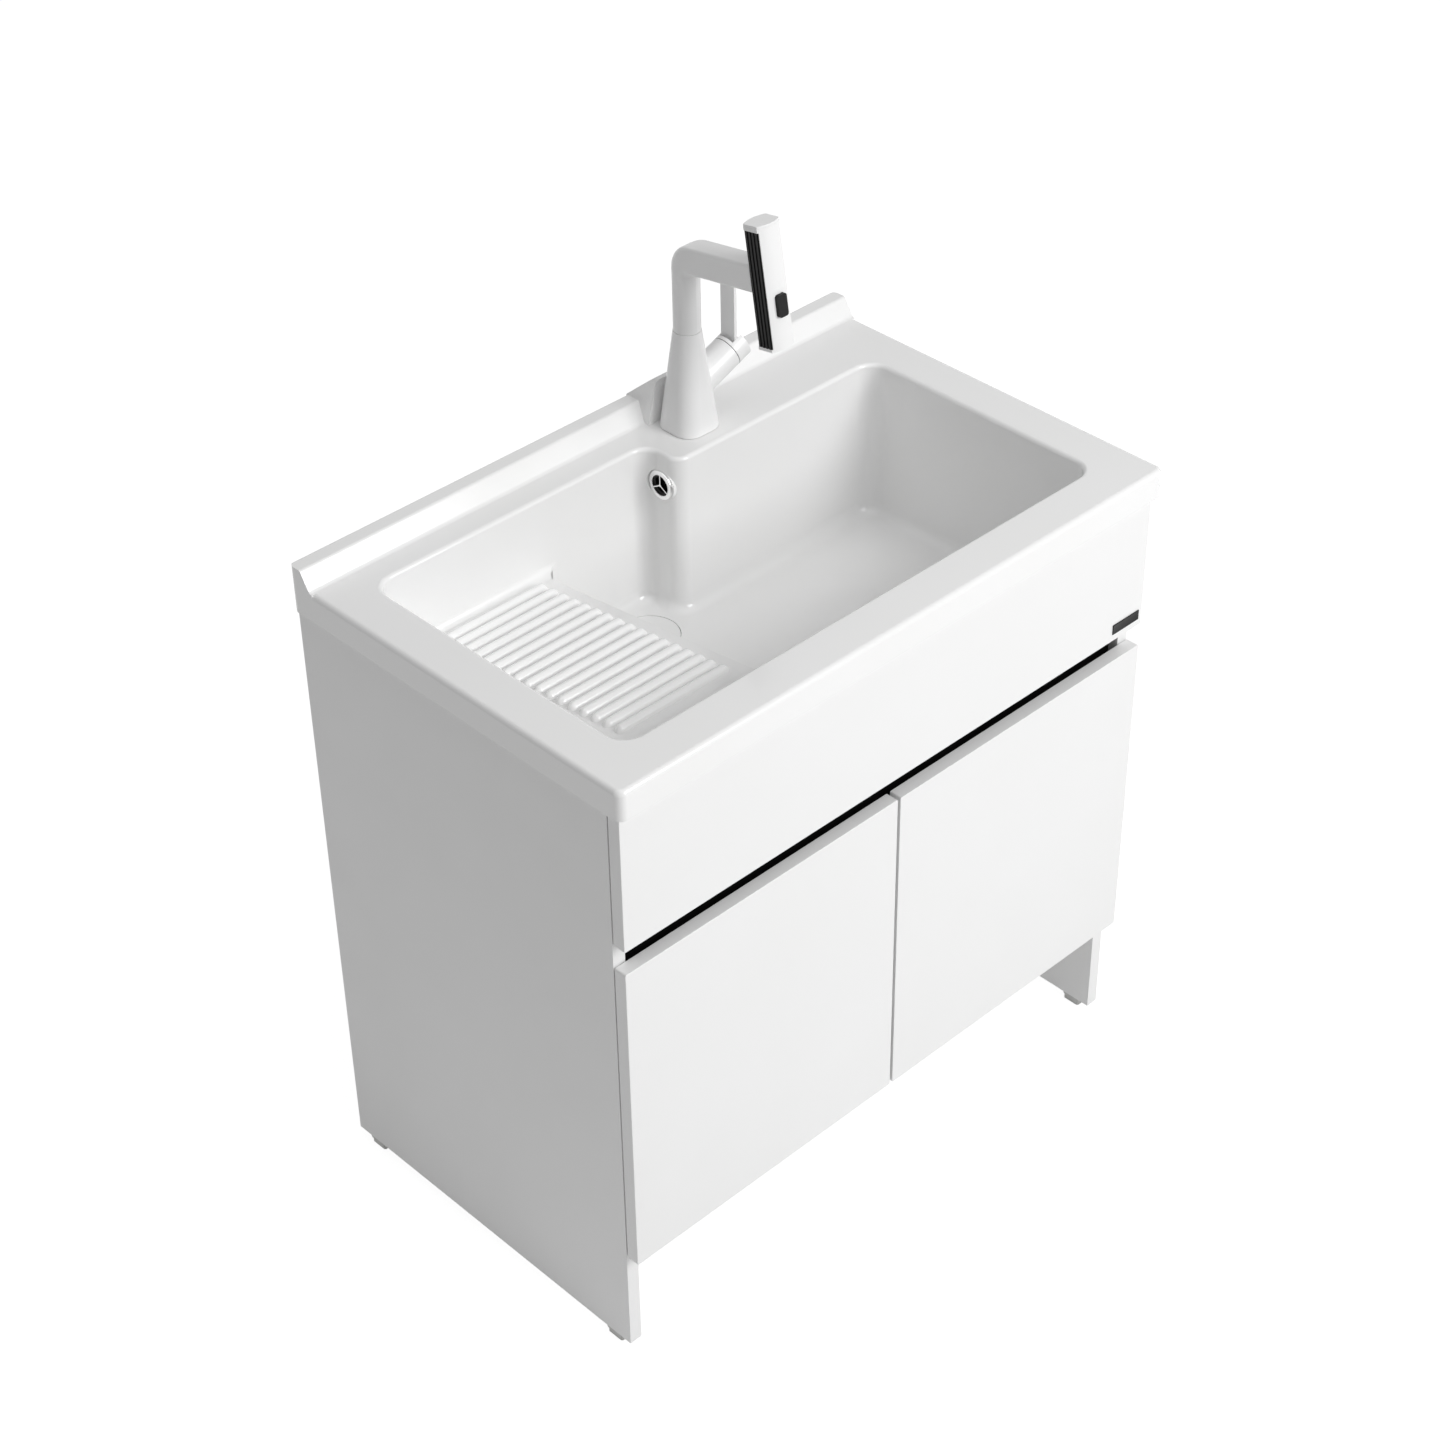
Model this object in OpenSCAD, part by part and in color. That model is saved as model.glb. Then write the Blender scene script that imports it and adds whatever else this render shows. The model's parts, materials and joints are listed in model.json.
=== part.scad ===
// Utility laundry sink: a ceramic basin with a moulded washboard on a two-door cabinet,
// with a single-lever tap whose spray head pulls out of the arm.
// Millimetres. The origin is on the floor at the centre of the footprint, +Z is up,
// the user stands at -Y and the wall is at +Y.

/* [Basin] */
// Width of the basin
basin_w = 800; // [740:10:900]
// Depth of the basin from front to wall
basin_d = 500; // [480:10:600]
// Height of the deck above the floor
deck_h = 800; // [760:10:900]
// Height of the basin's outer edge
deck_t = 35; // [30:1:45]
// Height of the back lip above the deck
lip_h = 22; // [12:1:30]
// Depth of the bowl below the deck
bowl_depth = 200; // [180:5:240]
// Thickness of the ceramic walls
ceramic_t = 12; // [9:1:14]
// Width of the rim beside the bowl
rim_side = 56; // [48:1:80]
// Width of the rim in front of the bowl
rim_front = 55; // [50:1:80]
// Width of the ledge behind the deep left part of the bowl
ledge_left = 67; // [60:1:90]
// Width of the tap ledge behind the right part of the bowl
ledge_right = 117.5; // [110:0.5:130]

/* [Washboard] */
// Distance from the rim's left edge of the bowl to the board's free edge
board_w = 226; // [200:1:260]
// Depth of the board below the deck at the back wall
board_drop = 98; // [90:1:120]
// Slope of the board up towards the user, in degrees
board_slope = 7.4; // [4:0.1:8]
// Number of ribs
rib_count = 17; // [10:1:17]
// Distance between ribs
rib_pitch = 17.5; // [17:0.1:18]
// Width of a rib at the board
rib_w = 16; // [12:0.5:16.5]
// Height of a rib above the board
rib_h = 4; // [2:0.5:5]

/* [Cabinet] */
// Thickness of the boards and doors
board_t = 16; // [15:1:19]
// How far the cabinet's sides stand in from the basin's sides
side_recess = 7; // [4:1:12]
// How far the doors stand in from the basin's front
front_recess = 10; // [6:1:16]
// Height of the feet
foot_h = 12; // [8:1:20]
// Height of the doors' lower edge above the floor
door_z0 = 150; // [120:5:200]
// Height of the finger gap above the doors
grip_gap = 29; // [24:1:36]
// Height of the fixed front panel
front_panel_h = 172; // [150:1:180]
// Gap between the two doors
door_gap = 4; // [2:0.5:6]

/* [Tap] */
// Distance of the tap hole to the right of the centre
tap_x = 101; // [90:1:110]
// Diameter of the tap hole
tap_hole_d = 35; // [34:0.5:36]
// Height of the tap body up to the spout's seam
tap_body_h = 120; // [110:1:140]
// Diameter of the round column
column_d = 31; // [28:0.5:31]
// Rise of the arm above level, in degrees
arm_rise = 9.3; // [5:0.1:12]
// Height of the spout's bend centre above the deck
bend_h = 190.5; // [185:0.5:220]
// Length of the straight arm from the bend to the spray head's middle
arm_len = 105.8; // [100:0.1:125]
// Length of the spray head
spray_len = 140; // [120:1:150]
// Diameter of the lever's hub
hub_d = 38; // [36:1:40]
// Slant of the hub's axis above level, in degrees
hub_rise = 22.5; // [18:0.5:25]
// Length of the lever above its pin
lever_len = 90; // [70:1:95]

/* [Hidden] */
$fn = 48;

// Colours as the object shows them
glazed_white = [0.95, 0.95, 0.94];
lacquer_white = [0.93, 0.93, 0.93];
satin_white = [0.9, 0.9, 0.9];
chrome_grey = [0.75, 0.76, 0.78];
plastic_grey = [0.7, 0.7, 0.7];
soft_black = [0.05, 0.05, 0.05];
rubber_black = [0.12, 0.12, 0.12];

// Shared clearances
overrun = 1;
seat_gap = 0.3;
run_gap = 0.1;
slice = 0.1;
tangent_past = 0.3;

// Basin outline
left_x = -basin_w / 2;
front_y = -basin_d / 2;
back_y = basin_d / 2;
deck_corner = 10;
deck_edge = 6;
skirt_t = 26;
deck_skin = 15;
deck_under_z = deck_h - deck_t;

// Back lip: flat top, sloping front and a fillet at its foot
lip_top_d = 20;
lip_slope_d = 13;
lip_edge = 4;
lip_foot = 6;

// Bowl: a left lobe that runs further back and a right lobe in front of the tap ledge
bowl_x0 = left_x + rim_side;
bowl_x1 = -bowl_x0;
bowl_y0 = front_y + rim_front;
lobe_left_y1 = back_y - ledge_left;
lobe_right_y1 = back_y - ledge_right;
tap_step_gap = 64;
step_x = tap_x - tap_step_gap;
step_in_r = 20;
step_out_r = 18;
bowl_corner = 24;
floor_edge = 15;
floor_z = deck_h - bowl_depth;
void_top = deck_h + lip_h + overrun;
rim_r = 5;

// Washboard, in a frame that starts at its back edge and rises towards the user
board_x1 = bowl_x0 + board_w;
board_back_z = deck_h - board_drop;
board_back_edge = 12;
board_front_edge = 34;
board_left_edge = 34;
board_len = (lobe_left_y1 - bowl_y0) / cos(board_slope);
rib_back = 21.6;
rib_right = 14;
rib_left = 57;
rib_r = (rib_w * rib_w / 4 + rib_h * rib_h) / (2 * rib_h);
rib_sink = rib_r - rib_h;

// Tap place and the soft ceramic shoulder behind it
tap_axis_back = 70;
tap_y = back_y - tap_axis_back;
tap_foot_w = 58;
tap_foot_r = 20;
shoulder_w = 67;
shoulder_top_w = 46;
shoulder_h = 52;
shoulder_y0 = tap_y + tap_foot_w / 2 + seat_gap;
shoulder_top_d = 6;
shoulder_edge = 9;

// Overflow: the ring in the step wall, the throat behind it and the elbow behind the wall
overflow_drop = 40;
overflow_y = (lobe_left_y1 + lobe_right_y1) / 2;
overflow_z = deck_h - overflow_drop;
overflow_seat_d = 38;
overflow_seat_deep = 8;
overflow_hole_d = 24;
overflow_ring_d = 35.5;
overflow_ring_t = 3;
overflow_ring_in_d = 27;
overflow_ring_edge = 1;
overflow_throat_d = 20;
overflow_lug_d = 5;
overflow_lug_turn = 20;
web_rim = 1.6;
web_hub_d = 6;
web_spoke_w = 2.4;
web_t = 1.6;
elbow_flange_d = 40;
elbow_flange_t = 3;
elbow_body_d = 25;
elbow_len = 25;
elbow_seal_t = 2;
elbow_socket_d = 24;
elbow_socket_len = 36;
elbow_socket_deep = 15;
elbow_wall_y = lobe_right_y1 + ceramic_t + seat_gap;
elbow_body_in = 1;
elbow_pipe_out = 12;
elbow_pipe_x = step_x + ceramic_t + elbow_seal_t + elbow_flange_t + elbow_pipe_out;
pipe_d = 20;
pipe_bore_d = 16;
pipe_bend_r = 18;
branch_below = 37;
branch_z = floor_z - branch_below;
branch_d = 25;
branch_len = 46;
branch_socket_deep = 12;

// Drain: cover, flange, click insert and waste body
cover_d = 71;
cover_t = 5;
cover_edge = 1.2;
cover_hub_d = 16;
cover_hub_h = 4;
cover_stem_d = 6;
cover_stem_h = 24;
cover_to_step = 52.5;
cover_to_back = 54.5;
drain_x = step_x - cover_to_step;
drain_y = lobe_left_y1 - cover_to_back;
recess_gap = 0.5;
recess_d = cover_d + 2 * recess_gap;
recess_deep = 8;
drain_hole_d = 46;
boss_d = 92;
boss_z = floor_z - recess_deep - ceramic_t;
flange_t = 2;
flange_d = 66;
drain_tube_d = 44;
drain_tube_t = 2;
drain_tube_len = 34;
spider_down = 14;
spider_z = boss_z - spider_down;
spider_t = 3;
spider_w = 4;
click_d = 10;
click_h = 27;
click_wall = 1.6;
cover_seal_d = 62;
cover_seal_in_d = 54;
drain_seal_d = 70;
drain_seal_t = 2;
waste_top = boss_z - drain_seal_t;
waste_flange_d = 68;
waste_flange_t = 4;
waste_cup_d = 54;
waste_cup_h = 29;
waste_cone_h = 10;
tail_d = 34;
tail_bore_d = 29;
tail_below = 170;
tail_z = floor_z - tail_below;

// Bottle trap
trap_neck_below = 100;
trap_neck_z = floor_z - trap_neck_below;
trap_neck_d = 44;
trap_neck_h = 14;
trap_shoulder_h = 12;
trap_d = 62;
trap_wall = 3;
trap_below = 200;
trap_z = floor_z - trap_below;
trap_cup_below = 234;
trap_cup_z = floor_z - trap_cup_below;
trap_cup_h = 46;
trap_cup_d = 70;
trap_cup_grips = 10;
trap_grip_d = 6;
grip_inset = 1;
outlet_below = 138;
outlet_z = floor_z - outlet_below;
outlet_d = 32;
outlet_bore_d = 28;
outlet_neck_d = 40;
outlet_neck_len = 50;
outlet_nut_d = 48;
outlet_nut_w = 18;
outlet_nut_past = 6;
tail_nut_d = 54;
tail_nut_h = 18;
rosette_d = 66;
rosette_t = 7;

// Cabinet
cab_x0 = left_x + side_recess;
cab_x1 = -cab_x0;
cab_in_x0 = cab_x0 + board_t;
cab_in_x1 = -cab_in_x0;
front_face_y = front_y + front_recess;
front_back_y = front_face_y + board_t;
bumper_t = 1.5;
side_front_y = front_back_y + bumper_t;
front_panel_z0 = deck_under_z - front_panel_h;
door_z1 = front_panel_z0 - grip_gap;
door_x_in = door_gap / 2;
bottom_up = 2;
bottom_z0 = door_z0 + bottom_up;
door_corner = 2;
channel_deep = 14;
channel_web_y = front_back_y + channel_deep;
channel_t = 1.6;
channel_down = 19;
channel_up = 17;
channel_z0 = door_z1 - channel_down;
channel_z1 = front_panel_z0 + channel_up;
channel_lip = 7;
rail_h = 100;
rail_gap = 5;
upper_rail_z1 = deck_under_z - rail_gap;
wall_hole_d = 8;
wall_hole_x = 250;
bracket_leg = 28;
bracket_t = 2;
bracket_h = 24;
bracket_hole_d = 5;
bracket_in = 20;
bracket_hole_in = 19;
foot_w = 16;
foot_d = 28;
foot_collar = 3;
foot_in = 2.5;
foot_corner = 7;
foot_low_corner = 3;
foot_front_in = 56;
foot_back_in = 30;
foot_front_y = front_y + foot_front_in;
foot_back_y = back_y - foot_back_in;

// Concealed hinges
hinge_end_in = 59;
hinge_cup_d = 35;
hinge_cup_deep = 11.5;
hinge_cup_in = 22.5;
hinge_cup_t = 1;
hinge_flange_w = 62;
hinge_z_in = hinge_end_in + hinge_flange_w / 2;
hinge_flange_d = 16;
hinge_flange_corner = 7;
hinge_plate_in = 28;
hinge_plate_y0 = side_front_y + hinge_plate_in;
hinge_plate_len = 40;
hinge_plate_h = 44;
hinge_plate_t = 3;
hinge_arm_w = 17;
hinge_arm_t = 13;
hinge_hole_d = 5;
hinge_hole_gap = 32;
bumper_d = 8;
bumper_in = 8;

// Tap body and hub, in the tap's frame: origin on the deck at the tap hole
gasket_t = 0.8;
gasket_d = 54;
tap_top_d = 32;
hub_z = 43.6;
hub_end = 63.5;
cartridge_d = 30;
cartridge_s = 30;
cartridge_len = 30;
cartridge_neck_d = 20;
cartridge_neck_len = 3.4;
stem_d = 9;
stem_len = 2.2;
nut_ring_in_d = 21;
gap_ring_d = 36.4;
gap_ring_t = 0.7;
gap_ring_in_d = 12;
cap_s = hub_end + gap_ring_t + run_gap;
cap_end_s = 82;
cap_wall = 2.5;
cap_base_t = 1.5;
cap_slot_s = 68.4;
cap_slot_n = 7;
cap_stem_gap = 0.2;
cap_stem_hole_d = stem_d + 2 * cap_stem_gap;
lever_w = 21.5;
lever_t = 4;
lever_x = 62.5;
lever_corner = 2;
pin_z = 77;
pin_s = lever_x * cos(hub_rise) + (pin_z - hub_z) * sin(hub_rise);
pin_d = 4;
pin_len = 19;
knuckle_r = 4.2;
knuckle_w = 12;
ear_t = 3.2;
ear_r = 4;
lever_root = 4;
body_cavity_d = 32.2;
body_cavity_h = 19;
passage_d = 17;
socket_d = 24.2;
socket_deep = 22;
shank_d = 32;
shank_bore_d = 22;
shank_down = 62;
inlet_d = 10;
inlet_bore_d = 6;
inlet_gap = 13;
inlet_len = 16;
inlet_plate_t = 4;
washer_d = 56;
washer_t = 3;
nut_d = 52;
nut_h = 12;

// Spout: round column, bend and flat-sided arm
ring_t = 0.6;
spigot_d = 24;
spigot_len = 20;
spigot_in = 1;
swivel_ring_d = 30;
spout_bore_d = 20;
bend_r = 24;
bend_turn = 90 - arm_rise;
bend_steps = 9;
link_d = 14;
link_past = 4;
corner_steps = 7;
arm_w = 30;
arm_h = 31.5;
arm_edge = 3.5;

// Spray head, in its own frame: origin at the middle, +Z along the blade, -Y away from the arm
spray_w = 33;
spray_side = 20;
spray_arc_r = 33.1;
spray_drop = 7.5;
spray_cap_t = 3;
strip_t = 1.6;
strip_top = 7;
strip_bottom = 3.5;
strip_ribs = 4;
strip_rib_w = 2.6;
strip_rib_h = 1;
nozzle_t = 4;
nozzle_w = 26;
nozzle_d = 17;
nozzle_corner = 7.5;
jet_pitch = 4;
jet_d = 1.6;
button_w = 13;
button_h = 25;
button_out = 3.6;
button_deep = 7;
button_corner = 3;
button_travel = 2.5;
button_drop = 28;
water_d = 12;
spray_shank_d = spout_bore_d - 2 * run_gap;
spray_shank_len = 62;
spray_shank_bore_d = 10;
spray_shank_in = 8;

// Rounded rectangle, centred
module rounded_rect(w, d, r) {
    square([w - 2 * r, d], center = true);
    square([w, d - 2 * r], center = true);
    for (sx = [-1, 1], sy = [-1, 1]) translate([sx * (w / 2 - r), sy * (d / 2 - r)]) circle(r = r);
}

// Box from its low corner to its high corner
module box(low, high) {
    translate(low) cube(high - low);
}

// Rectangle that stands on the x axis, with round lower corners
module low_round(w, h, edge) {
    translate([-w / 2, edge]) square([w, h - edge]);
    translate([edge - w / 2, 0]) square([w - 2 * edge, edge]);
    for (s = [-1, 1]) translate([s * (w / 2 - edge), edge]) circle(r = edge);
}

// Block with round upright corners and round lower edges
module pocket(x0, x1, y0, y1, z0, z1, corner, edge) {
    w = x1 - x0;
    d = y1 - y0;
    h = z1 - z0;
    translate([(x0 + x1) / 2, (y0 + y1) / 2, z0]) {
        rotate([90, 0, 0]) linear_extrude(d - 2 * corner, center = true) low_round(w, h, edge);
        rotate([90, 0, 90]) linear_extrude(w - 2 * corner, center = true) low_round(d, h, edge);
        for (s = [-1, 1], t = [-1, 1]) translate([s * (w / 2 - corner), t * (d / 2 - corner), 0])
            rotate_extrude() intersection() {
                low_round(2 * corner, h, edge);
                square([corner, h]);
            }
    }
}

// Straight round pipe from point a to point b
module pipe(a, b, d) {
    v = b - a;
    flat = norm([v[0], v[1]]);
    translate(a) rotate([0, atan2(flat, v[2]), atan2(v[1], v[0])]) cylinder(h = norm(v), d = d);
}

// Frame of the washboard: origin at the back edge, -Y runs up the board
module board_frame() {
    translate([0, lobe_left_y1, board_back_z]) rotate([-board_slope, 0, 0]) children();
}

// Shape left between a fillet of radius r and the corner at p of two lines that meet at angle a
module corner_fill(p, turn, a, r) {
    reach_r = r / tan(a / 2);
    translate(p) rotate(turn) difference() {
        polygon([[0, 0], [reach_r, 0], [reach_r, r], [reach_r * cos(a), reach_r * sin(a)]]);
        translate([reach_r, r]) circle(r = r);
    }
}

// Outline of the washboard's end of the bowl, seen from above
module board_plan(grow) {
    w = board_w + bowl_corner + grow;
    d = lobe_left_y1 - bowl_y0 + 2 * grow;
    translate([bowl_x0 - grow + w / 2, (bowl_y0 + lobe_left_y1) / 2]) {
        rounded_rect(w, d, bowl_corner + grow);
        translate([bowl_corner + grow, -d / 2]) square([w / 2 - bowl_corner - grow, d]);
    }
}

module board_void() {
    intersection() {
        translate([0, 0, board_back_z - ceramic_t])
            linear_extrude(void_top - board_back_z + ceramic_t) board_plan(0);
        board_side_cut();
        board_left_cut();
    }
}

// Side view: above the sloping board with round back and front corners, past the walls
module board_side_cut() {
    front_z = board_back_z + (lobe_left_y1 - bowl_y0) * tan(board_slope);
    top = void_top + overrun;
    back_past = [lobe_left_y1 + overrun, board_back_z - overrun * tan(board_slope)];
    front_past = [bowl_y0 - overrun, front_z + overrun * tan(board_slope)];
    back_p = [lobe_left_y1 + tangent_past, board_back_z - tangent_past * tan(board_slope)];
    front_p = [bowl_y0 - tangent_past, front_z + tangent_past * tan(board_slope)];
    translate([left_x, 0, 0]) rotate([90, 0, 90]) linear_extrude(basin_w) difference() {
        polygon([back_past, [back_past[0], top], [front_past[0], top], front_past]);
        corner_fill(back_p, 90, 90 - board_slope, board_back_edge);
        corner_fill(front_p, -board_slope, 90 + board_slope, board_front_edge);
    }
}

// Front view: above the board with a large round corner against the left wall
module board_left_cut() {
    board_frame() translate([0, lip_h, 0]) rotate([90, 0, 0]) linear_extrude(board_len + 2 * lip_h + overrun)
        difference() {
            translate([bowl_x0 - overrun, -ceramic_t]) square([board_w + bowl_corner + 2 * overrun, basin_d]);
            translate([-tangent_past, -tangent_past]) corner_fill([bowl_x0, 0], 0, 90, board_left_edge);
            translate([bowl_x0 - 2 * overrun, -2 * ceramic_t])
                square([board_left_edge, 2 * ceramic_t - tangent_past]);
        }
}

// The two deep lobes; grow is 0 for the hollow and the wall thickness for the outside
module deep_lobes(grow, top) {
    pocket(board_x1 - grow, step_x + grow, bowl_y0 - grow, lobe_left_y1 + grow,
        floor_z - grow, top, step_in_r + grow, floor_edge + grow);
    pocket(board_x1 - grow, bowl_x1 + grow, bowl_y0 - grow, lobe_right_y1 + grow,
        floor_z - grow, top, bowl_corner + grow, floor_edge + grow);
}

// Rounds the ceramic corner that stands into the bowl at the step
module step_corner_void() {
    side = step_out_r + floor_edge;
    rise = void_top - floor_z;
    difference() {
        box([step_x - floor_edge, lobe_right_y1 - floor_edge, floor_z],
            [step_x + step_out_r, lobe_right_y1 + step_out_r, void_top]);
        translate([step_x + step_out_r, lobe_right_y1 + step_out_r, floor_z]) {
            cylinder(h = rise, r = step_out_r);
            rotate_extrude() difference() {
                square([side, floor_edge]);
                translate([side, floor_edge]) circle(r = floor_edge);
            }
        }
    }
}

// What rounds the rim of the bowl: u leads from the wall into the ceramic, v up from the deck
module rim_profile() {
    difference() {
        translate([-overrun, -rim_r]) square([rim_r + overrun, rim_r + overrun]);
        translate([rim_r, -rim_r]) circle(r = rim_r);
    }
}

// Rounds a straight stretch of rim from point a to point b, with the bowl on the left
module rim_side(a, b) {
    v = b - a;
    translate([a[0], a[1], deck_h]) rotate(atan2(v[1], v[0])) rotate([90, 0, 90])
        linear_extrude(norm(v)) mirror([1, 0]) rim_profile();
}

// Rounds the rim at a hollow corner of the bowl, a quarter turn from an angle
module rim_hollow(centre, r, turn) {
    translate([centre[0], centre[1], deck_h]) rotate(turn) rotate_extrude(angle = 90)
        translate([r, 0]) rim_profile();
}

module rim_void() {
    x0 = bowl_x0 + bowl_corner;
    x1 = bowl_x1 - bowl_corner;
    y0 = bowl_y0 + bowl_corner;
    y1 = lobe_right_y1 - bowl_corner;
    y2 = lobe_left_y1 - bowl_corner;
    y3 = lobe_left_y1 - step_in_r;
    y4 = lobe_right_y1 + step_out_r;
    rim_side([x0, bowl_y0], [x1, bowl_y0]);
    rim_side([bowl_x1, y0], [bowl_x1, y1]);
    rim_side([x1, lobe_right_y1], [step_x + step_out_r, lobe_right_y1]);
    rim_side([step_x, y4], [step_x, y3]);
    rim_side([step_x - step_in_r, lobe_left_y1], [x0, lobe_left_y1]);
    rim_side([bowl_x0, y2], [bowl_x0, y0]);
    rim_hollow([x0, y0], bowl_corner, 180);
    rim_hollow([x1, y0], bowl_corner, -90);
    rim_hollow([x1, y1], bowl_corner, 0);
    rim_hollow([step_x - step_in_r, y3], step_in_r, 0);
    rim_hollow([x0, y2], bowl_corner, 90);
    translate([step_x + step_out_r, y4, deck_h]) rotate(180) rotate_extrude(angle = 90)
        translate([step_out_r, 0]) mirror([1, 0]) rim_profile();
}

// Side view of the back lip, as [y, z] seen from +X
module lip_profile() {
    y_top = back_y - lip_top_d;
    y_foot = y_top - lip_slope_d;
    z_top = deck_h + lip_h;
    slope = atan2(lip_h, lip_slope_d);
    round_in = lip_edge * tan(slope / 2);
    fillet_in = lip_foot * tan(slope / 2);
    polygon([[back_y, deck_h - deck_edge], [back_y, z_top - lip_edge], [back_y - lip_edge, z_top],
        [y_top + round_in, z_top], [y_top - round_in * cos(slope), z_top - round_in * sin(slope)],
        [y_foot, deck_h], [y_foot - fillet_in, deck_h], [y_foot - fillet_in, deck_h - deck_edge]]);
    translate([y_top + round_in, z_top - lip_edge]) circle(r = lip_edge);
    translate([back_y - lip_edge, z_top - lip_edge]) circle(r = lip_edge);
    corner_fill([y_foot, deck_h], slope, 180 - slope, lip_foot);
}

module lip() {
    intersection() {
        translate([left_x, 0, 0]) rotate([90, 0, 90]) linear_extrude(basin_w) lip_profile();
        translate([0, 0, deck_under_z]) linear_extrude(deck_t + lip_h + overrun)
            rounded_rect(basin_w, basin_d, deck_corner);
    }
}

// Front view of the shoulder behind the tap, as [x, z] from the tap's axis on the deck
module shoulder_front() {
    foot = shoulder_w / 2;
    lean = atan2(foot - shoulder_top_w / 2, shoulder_h);
    round_in = shoulder_edge * tan((90 - lean) / 2);
    top = shoulder_top_w / 2;
    low = round_in * cos(lean);
    polygon([[-foot, -deck_edge], [foot, -deck_edge], [foot, 0], [top + round_in * sin(lean), shoulder_h - low],
        [top - round_in, shoulder_h], [round_in - top, shoulder_h],
        [-top - round_in * sin(lean), shoulder_h - low], [-foot, 0]]);
    for (s = [-1, 1]) translate([s * (top - round_in), shoulder_h - shoulder_edge]) circle(r = shoulder_edge);
}

// Wedge of ceramic that rises from the lip to the back of the tap
module tap_shoulder() {
    top_z = deck_h + shoulder_h;
    intersection() {
        translate([tap_x - shoulder_w / 2, 0, 0]) rotate([90, 0, 90]) linear_extrude(shoulder_w)
            polygon([[shoulder_y0, deck_h - deck_edge], [shoulder_y0, top_z],
                [shoulder_y0 + shoulder_top_d, top_z], [back_y, deck_h + lip_h], [back_y, deck_h - deck_edge]]);
        translate([tap_x, back_y, deck_h]) rotate([90, 0, 0]) linear_extrude(tap_axis_back) shoulder_front();
    }
}

module deck_slab() {
    difference() {
        translate([0, 0, deck_h]) mirror([0, 0, 1])
            pocket(left_x, -left_x, front_y, back_y, 0, deck_t, deck_corner, deck_edge);
        translate([0, 0, deck_under_z - overrun]) linear_extrude(deck_t - deck_skin + overrun)
            rounded_rect(basin_w - 2 * skirt_t, basin_d - 2 * skirt_t, deck_corner);
    }
}

module bowl_shell() {
    top = deck_h - deck_edge;
    deep_lobes(ceramic_t, top);
    intersection() {
        translate([0, 0, board_back_z - ceramic_t]) linear_extrude(top - board_back_z + ceramic_t)
            board_plan(ceramic_t);
        board_frame() box([left_x, -basin_d, -ceramic_t], [board_x1 + ceramic_t, basin_d, basin_d]);
    }
    translate([drain_x, drain_y, boss_z]) cylinder(h = floor_z - boss_z, d = boss_d);
}

module ribs() {
    x0 = bowl_x0 + rib_left;
    x1 = board_x1 - rib_right;
    intersection() {
        for (i = [0 : rib_count - 1]) {
            back = (rib_back + i * rib_pitch) / cos(board_slope);
            translate([x0 + rib_w / 2, -back, -rib_sink]) {
                rotate([0, 90, 0]) cylinder(h = x1 - x0 - rib_w, r = rib_r);
                sphere(r = rib_r);
                translate([x1 - x0 - rib_w, 0, 0]) sphere(r = rib_r);
            }
        }
        box([x0 - overrun, -board_len, -ceramic_t / 2], [x1 + overrun, 0, rib_h + overrun]);
    }
}

module along_x(x0) {
    translate([x0, overflow_y, overflow_z]) rotate([0, 90, 0]) children();
}

module basin() {
    color(glazed_white) {
        difference() {
            union() {
                difference() {
                    union() {
                        deck_slab();
                        lip();
                        tap_shoulder();
                        bowl_shell();
                    }
                    deep_lobes(0, void_top);
                    board_void();
                    step_corner_void();
                    rim_void();
                }
                along_x(step_x) cylinder(h = ceramic_t, d = overflow_seat_d);
            }
            along_x(step_x - overflow_seat_deep) cylinder(h = overflow_seat_deep, d = overflow_seat_d);
            along_x(step_x - overrun) cylinder(h = ceramic_t + 2 * overrun, d = overflow_hole_d);
            translate([drain_x, drain_y, floor_z - recess_deep])
                cylinder(h = recess_deep + overrun, d = recess_d);
            translate([drain_x, drain_y, boss_z - overrun])
                cylinder(h = ceramic_t + recess_deep, d = drain_hole_d);
            translate([tap_x, tap_y, deck_h - deck_skin - overrun])
                cylinder(h = deck_skin + 2 * overrun, d = tap_hole_d);
        }
        board_frame() ribs();
    }
}

// Mirrors a piece of the left side to the right side
module facing(s) {
    if (s > 0) mirror([1, 0, 0]) children();
    else children();
}

module at_drain(z) {
    translate([drain_x, drain_y, z]) children();
}

// Ring of a given height between two diameters, standing on z = 0
module ring(h, out_d, in_d) {
    difference() {
        cylinder(h = h, d = out_d);
        translate([0, 0, -overrun]) cylinder(h = h + 2 * overrun, d = in_d);
    }
}

module drain_flange() {
    spider_top = spider_z + spider_t;
    color(chrome_grey) at_drain(0) {
        difference() {
            union() {
                translate([0, 0, floor_z - recess_deep]) cylinder(h = flange_t, d = flange_d);
                translate([0, 0, floor_z - recess_deep - drain_tube_len + flange_t])
                    cylinder(h = drain_tube_len - flange_t, d = drain_tube_d);
            }
            translate([0, 0, floor_z - recess_deep - drain_tube_len])
                cylinder(h = drain_tube_len + flange_t + 2 * overrun, d = drain_tube_d - 2 * drain_tube_t);
        }
        difference() {
            union() {
                translate([0, 0, spider_z]) cylinder(h = spider_t, d = click_d + 2 * spider_w);
                for (i = [0 : 2]) rotate(i * 120)
                    box([0, -spider_w / 2, spider_z],
                        [(drain_tube_d - drain_tube_t) / 2, spider_w / 2, spider_top]);
            }
            translate([0, 0, spider_z - overrun])
                cylinder(h = spider_t + 2 * overrun, d = click_d + 2 * run_gap);
        }
    }
}

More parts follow.
